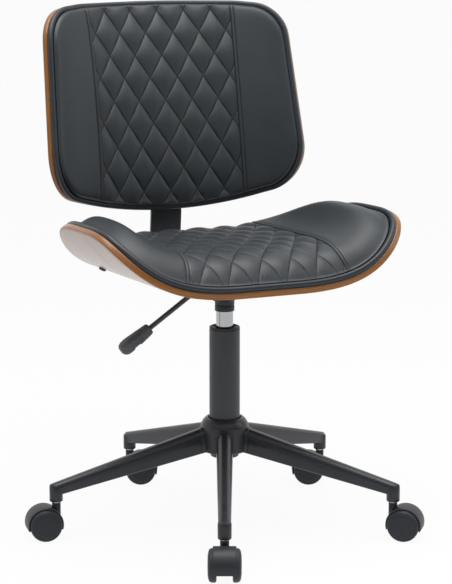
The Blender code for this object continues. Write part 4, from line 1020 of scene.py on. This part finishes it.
grip_place = pivot @ at(ELBOW + down[0] * 0.091, 0, down[1] * 0.091) @ turn(180.0 - DROP, "Y")
fitted(mesh_object("lever_grip", *lofted(rows), grip_place, 30.0), "lever", "black_plastic", LIT_LEVER_GRIP,
       "lever_paddle")

# %% [markdown]
# ## The star base
# The hub is a turned dome with a lip round the tube, and five arched roots where the legs start. Each leg is
# a pressed steel channel, higher than wide, that tapers to a round socket for the caster stem. The five legs
# are alike, so one is made and copied.


# %% Hub and legs
REACH, SOCKET = 0.285, 0.01075  # the caster stems' distance from the column, and their posts' radius
LEG_START = 0.030


def towards(k):
    """The turn from +X to leg k, which counts from 1."""
    return turn(-114 + 72 * (k - 1), "Z")


def leg_ring(x, width, low, high):
    """A leg's section at x: flat below, upright sides, a crisp upper edge and a crowned top."""
    half, deep = width / 2, high - low
    shares = ((0.0, 0.0), (0.90, 0.0), (1.0, 0.48), (0.985, 0.62), (0.90, 0.79), (0.52, 0.965), (0.0, 1.0))
    right = eased([(half * wide, low + deep * up) for wide, up in shares], 0.0042, 5)
    return [(x, y, z) for y, z in right[1:-1]] + [(x, -y, z) for y, z in reversed(right[1:-1])]


def leg_at(x, grow=0.0):
    """Width, lower and upper height of a leg at a distance from the column."""
    s = (x - LEG_START) / (REACH - LEG_START)
    return 0.028 - 0.008 * s + 2 * grow, 0.1235 - 0.0525 * s - grow, 0.166 - 0.074 * s + grow


dome = eased([(0.0253, 0.1235), (0.0400, 0.1235), (0.0400, 0.1560), (0.0392, 0.1665), (0.0356, 0.1735),
              (0.0305, 0.1785), (0.0270, 0.1785), (0.0270, 0.1755), (0.0253, 0.1725)], 0.0022, 4)
hub = turned("star_hub", dome, 96, angle=30.0)
for k in range(1, 6):
    rows = [leg_ring(x, *leg_at(x, grow)) for x, grow in ((0.031, 0.0014), (0.0425, 0.0014), (0.0434, 0.0011),
                                                          (0.0438, 0.0004))]
    rows = [[(x, y, max(z, 0.1236)) for x, y, z in row] for row in rows]
    hub = cut(hub, mesh_object("root", *lofted(rows), towards(k)), "UNION")
hub.data.transform(COLUMN)
shaded(hub.data, 32.0)
fitted(hub, "base", "black_steel", GLOSS, "base_hub")

rows = [leg_ring(x, *leg_at(x)) for x in (0.0305, 0.045, 0.08, 0.12, 0.16, 0.20, 0.24, 0.27, REACH - 0.003)]
for step in (0.15, 0.35, 0.55, 0.72, 0.85, 0.93):
    width, low, high = leg_at(REACH + SOCKET * step)
    rows.append(leg_ring(REACH + SOCKET * step, 2 * SOCKET * math.sqrt(1 - step * step) * 0.93, low, high))
leg = mesh_object("star leg", *lofted(rows), angle=32.0)
post = [(0.0, 0.0610), (0.0096, 0.0610), (0.01035, 0.0615), (SOCKET, 0.0625), (SOCKET, 0.0848),
        (0.0103, 0.0858), (0.0, 0.0860)]
bore = [(0.0, 0.055), (0.0067, 0.055), (0.0067, 0.0626), (0.0058, 0.0626), (0.0058, 0.0868), (0.0, 0.0868)]
leg = cut(leg, turned("post", post, 48, at(REACH, 0, 0)), "UNION")
leg = cut(leg, turned("bore", bore, 32, at(REACH, 0, 0)), "DIFFERENCE")
shaded(leg.data, 32.0)
for k in range(1, 6):
    arm = copied(leg, f"star_leg_{k}", COLUMN @ towards(k))
    fitted(arm, "base", "black_steel", GLOSS, f"base_leg_{k}")
bpy.data.objects.remove(leg)

# %% [markdown]
# ## The casters
# Each caster has a moulded fender over two wheels, a short neck and a plain stem. The fender is a swept
# wall: a section across the caster, turned round the axle and stopped on both sides above the floor. The
# wheels are turned, with a soft bulge outside and a shallow groove that parts tread and disc.

# %% One fender and one wheel
WHEEL, TRAIL = 0.026, 0.020
AXLE = at(TRAIL, 0, WHEEL * math.cos(math.pi / 20))  # as high as the solids' 20-sided wheels put it


def fender():
    """The section across the caster as (width, radius), swept round the axle, with its neck and holes."""
    inner, outer, half, web = WHEEL + 0.0005, WHEEL + 0.0029, 0.0180, 0.0119
    right = [(web, 0.0035), (web, inner), (half, inner), (half, outer - 0.001), (half - 0.001, outer)]
    section = [(-web, 0.0035), *right, *((-y, r) for y, r in reversed(right))]
    section = eased(section, 0.0006, 2)[1:-1]
    rows = []
    for k in range(49):
        a = math.radians(-16.0 + 212.0 * k / 48)
        rows.append([AXLE @ Vector((r * math.cos(a), y, r * math.sin(a))) for y, r in section])
    body = mesh_object("fender", *lofted(rows), angle=32.0)
    neck = [(0.0, 0.0315), (0.0070, 0.0315), (0.0070, 0.0585), (0.0067, 0.0590), (0.0, 0.0590)]
    hole = [(0.0, 0.0372), (0.0058, 0.0372), (0.0058, 0.0574), (0.0064, 0.0574), (0.0064, 0.065),
            (0.0, 0.065)]
    middle = [(0.0, -web), (0.0055, -web), (0.0055, web), (0.0, web)]
    axle_hole = [(0.0, -0.03), (0.0028, -0.03), (0.0028, 0.03), (0.0, 0.03)]
    upright, lying = Matrix.Identity(4), AXLE @ turn(90, "X")
    for profile, sides, place, how in ((neck, 40, upright, "UNION"), (hole, 32, upright, "DIFFERENCE"),
                                       (middle, 32, lying, "UNION"), (axle_hole, 20, lying, "DIFFERENCE")):
        body = cut(body, turned("tool", profile, sides, place), how)
    shaded(body.data, 32.0)
    return body


wheel_profile = eased([(0.0028, 0.0225), (0.0028, 0.0122), (0.0235, 0.0122), (WHEEL, 0.0136), (WHEEL, 0.0192),
                       (0.0250, 0.0222), (0.0232, 0.0240), (0.0224, 0.0236), (0.0214, 0.0245),
                       (0.0150, 0.0257), (0.0, 0.0260)], 0.0010, 3)
wheel = turned("wheel", [(0.0, 0.0225)] + wheel_profile, 64, angle=40.0)
hood = fender()
for k, heading in enumerate((-114.0, -40.0, 156.0, -24.0, 172.0), 1):
    spot = Matrix.Translation(COLUMN @ towards(k) @ Vector((REACH, 0, 0))) @ turn(heading, "Z")
    shield = copied(hood, f"caster_fender_{k}", spot)
    fitted(shield, f"caster_{k}", "black_plastic", PLASTIC, f"caster_housing_{k}")
    for side, angle in (("right", 90), ("left", -90)):
        disc = copied(wheel, f"wheel_disc_{side}_{k}", spot @ AXLE @ turn(angle, "X"))
        fitted(disc, f"wheel_{side}_{k}", "wheel_plastic", RUBBER, f"caster_wheel_{side}_{k}")
bpy.data.objects.remove(hood)
bpy.data.objects.remove(wheel)

# %% [markdown]
# ## Solids that stay
# The stems, axles, bearing, piston rod, valve and the pressed mechanism are already the right shape. They
# keep their meshes and only get a finish.

# %% Finishes for the solids that are kept
KEPT = {"caster_stem": STEEL, "caster_axle": STEEL, "thrust_bearing": STEEL, "piston_rod": STEEL,
        "rod_clip": STEEL, "valve_button": STEEL, "mechanism_housing": PAINT, "swivel_plate": PAINT}
for name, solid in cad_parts.items():
    finish = next((m for start, m in KEPT.items() if name.startswith(start)), None)
    if finish is not None:
        solid.data.materials.clear()
        solid.data.materials.append(finish)
print("solids shown:", sum(not o.hide_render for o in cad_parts.values()))

# %% [markdown]
# ## Light, floor and camera
# The photograph is a plain product picture: soft light from above, weaker light from the right, and a white
# ground. The ground is white only for rays that come from the camera or a mirror-like surface. Light that
# falls on the chair comes from the lamps and from a dimmer surround, so colours render as they are written.

# %% Ground and surround
scene = bpy.context.scene
scene.view_settings.view_transform = "Standard"
WHITE = (1.0, 1.0, 1.0, 1.0)


def chosen(tree, factor, low, high):
    """low where factor is 0, high where it is 1."""
    return node(tree, "Mix", data_type="FLOAT", Factor=factor, A=low, B=high)


scene.world = bpy.data.worlds.new("studio")
scene.world.use_nodes = True
tree = scene.world.node_tree
path = node(tree, "LightPath").outputs
way = node(tree, "SeparateXYZ", node(tree, "TexCoord").outputs["Generated"]).outputs
from_above = spread(tree, way["Z"], 0.0, 1.0, 0.09, 0.64)
ceiling = spread(tree, way["Z"], 0.30, 0.75, 0.10, 1.0)
behind = maths(tree, "MAXIMUM", spread(tree, way["Y"], -0.75, 0.35, 0.10, 1.0), ceiling)
mirrored = chosen(tree, path["Is Glossy Ray"], from_above, behind)
clear = chosen(tree, path["Is Transmission Ray"], mirrored, behind)
strength = chosen(tree, path["Is Camera Ray"], clear, 1.0)
feed_all(tree, tree.nodes["Background"].inputs, Color=WHITE, Strength=strength)

# the ground: white for rays from the camera, a mirror or glass, a pale diffuse grey for other light
ground = bpy.data.materials.new("white ground")
ground.use_nodes = True
tree = ground.node_tree
path = node(tree, "LightPath").outputs
seen = maths(tree, "MAXIMUM", path["Is Camera Ray"], path["Is Glossy Ray"])
seen = maths(tree, "MAXIMUM", seen, path["Is Transmission Ray"])
matt = node(tree, "BsdfDiffuse", Color=(0.86, 0.86, 0.86, 1.0))
glow, clear = node(tree, "Emission"), node(tree, "BsdfTransparent")
above = node(tree, "MixShader", maths(tree, "MULTIPLY", seen, 0.94), matt, glow)
# from below the camera looks through the ground
backfacing = node(tree, "NewGeometry").outputs["Backfacing"]
below = maths(tree, "MULTIPLY", backfacing, path["Is Camera Ray"])
surface_out = node(tree, "MixShader", below, above, clear)
feed_all(tree, tree.nodes["Material Output"].inputs, Surface=surface_out)
size = 60.0
floor = mesh_object("studio_floor", [(-size, -size, 0), (size, -size, 0), (size, size, 0), (-size, size, 0)],
                    [(0, 1, 2, 3)])
floor.data.materials.append(ground)


# %% Lamps and camera
def lamp(name, place, target, power, width, height):
    """A rectangular lamp that faces a target."""
    light = bpy.data.lights.new(name, "AREA")
    light.shape, light.size, light.size_y, light.energy = "RECTANGLE", width, height, power
    made = linked(name, light)
    made.location = place
    made.rotation_euler = (Vector(target) - Vector(place)).to_track_quat("-Z", "Y").to_euler()


lamp("overhead", (-0.06, -0.20, 2.10), (0.0, 0.0, 0.45), 36.5, 1.8, 1.3)
lamp("side", (2.3, -1.0, 1.7), (0.0, 0.0, 0.50), 8.5, 1.2, 1.6)

# the camera was fitted in pixels of the picture: its focal length, and where its axis meets the picture
FOCAL, MIDDLE, TALL = 2028.8, 224.63, 584
DISTANCE, EYE, AZIMUTH, DOWN = 3.23, 1.013, math.radians(-24.0), 10.98
camera = bpy.data.cameras.new("camera")
camera.sensor_fit, camera.sensor_width, camera.lens = "AUTO", 36.0, FOCAL / TALL * 36.0
camera.shift_x = (226 - MIDDLE) / TALL
eye = linked("camera", camera)
eye.location = COLUMN @ Vector((DISTANCE * math.sin(AZIMUTH), -DISTANCE * math.cos(AZIMUTH), EYE))
eye.rotation_euler = (math.radians(90 - DOWN), 0.0, AZIMUTH)
scene.camera = eye
print("camera lens", round(camera.lens, 2), "mm")

# %% [markdown]
# ## The end
# The last call brings the scene up to date.

# %% Update the scene
bpy.context.view_layer.update()
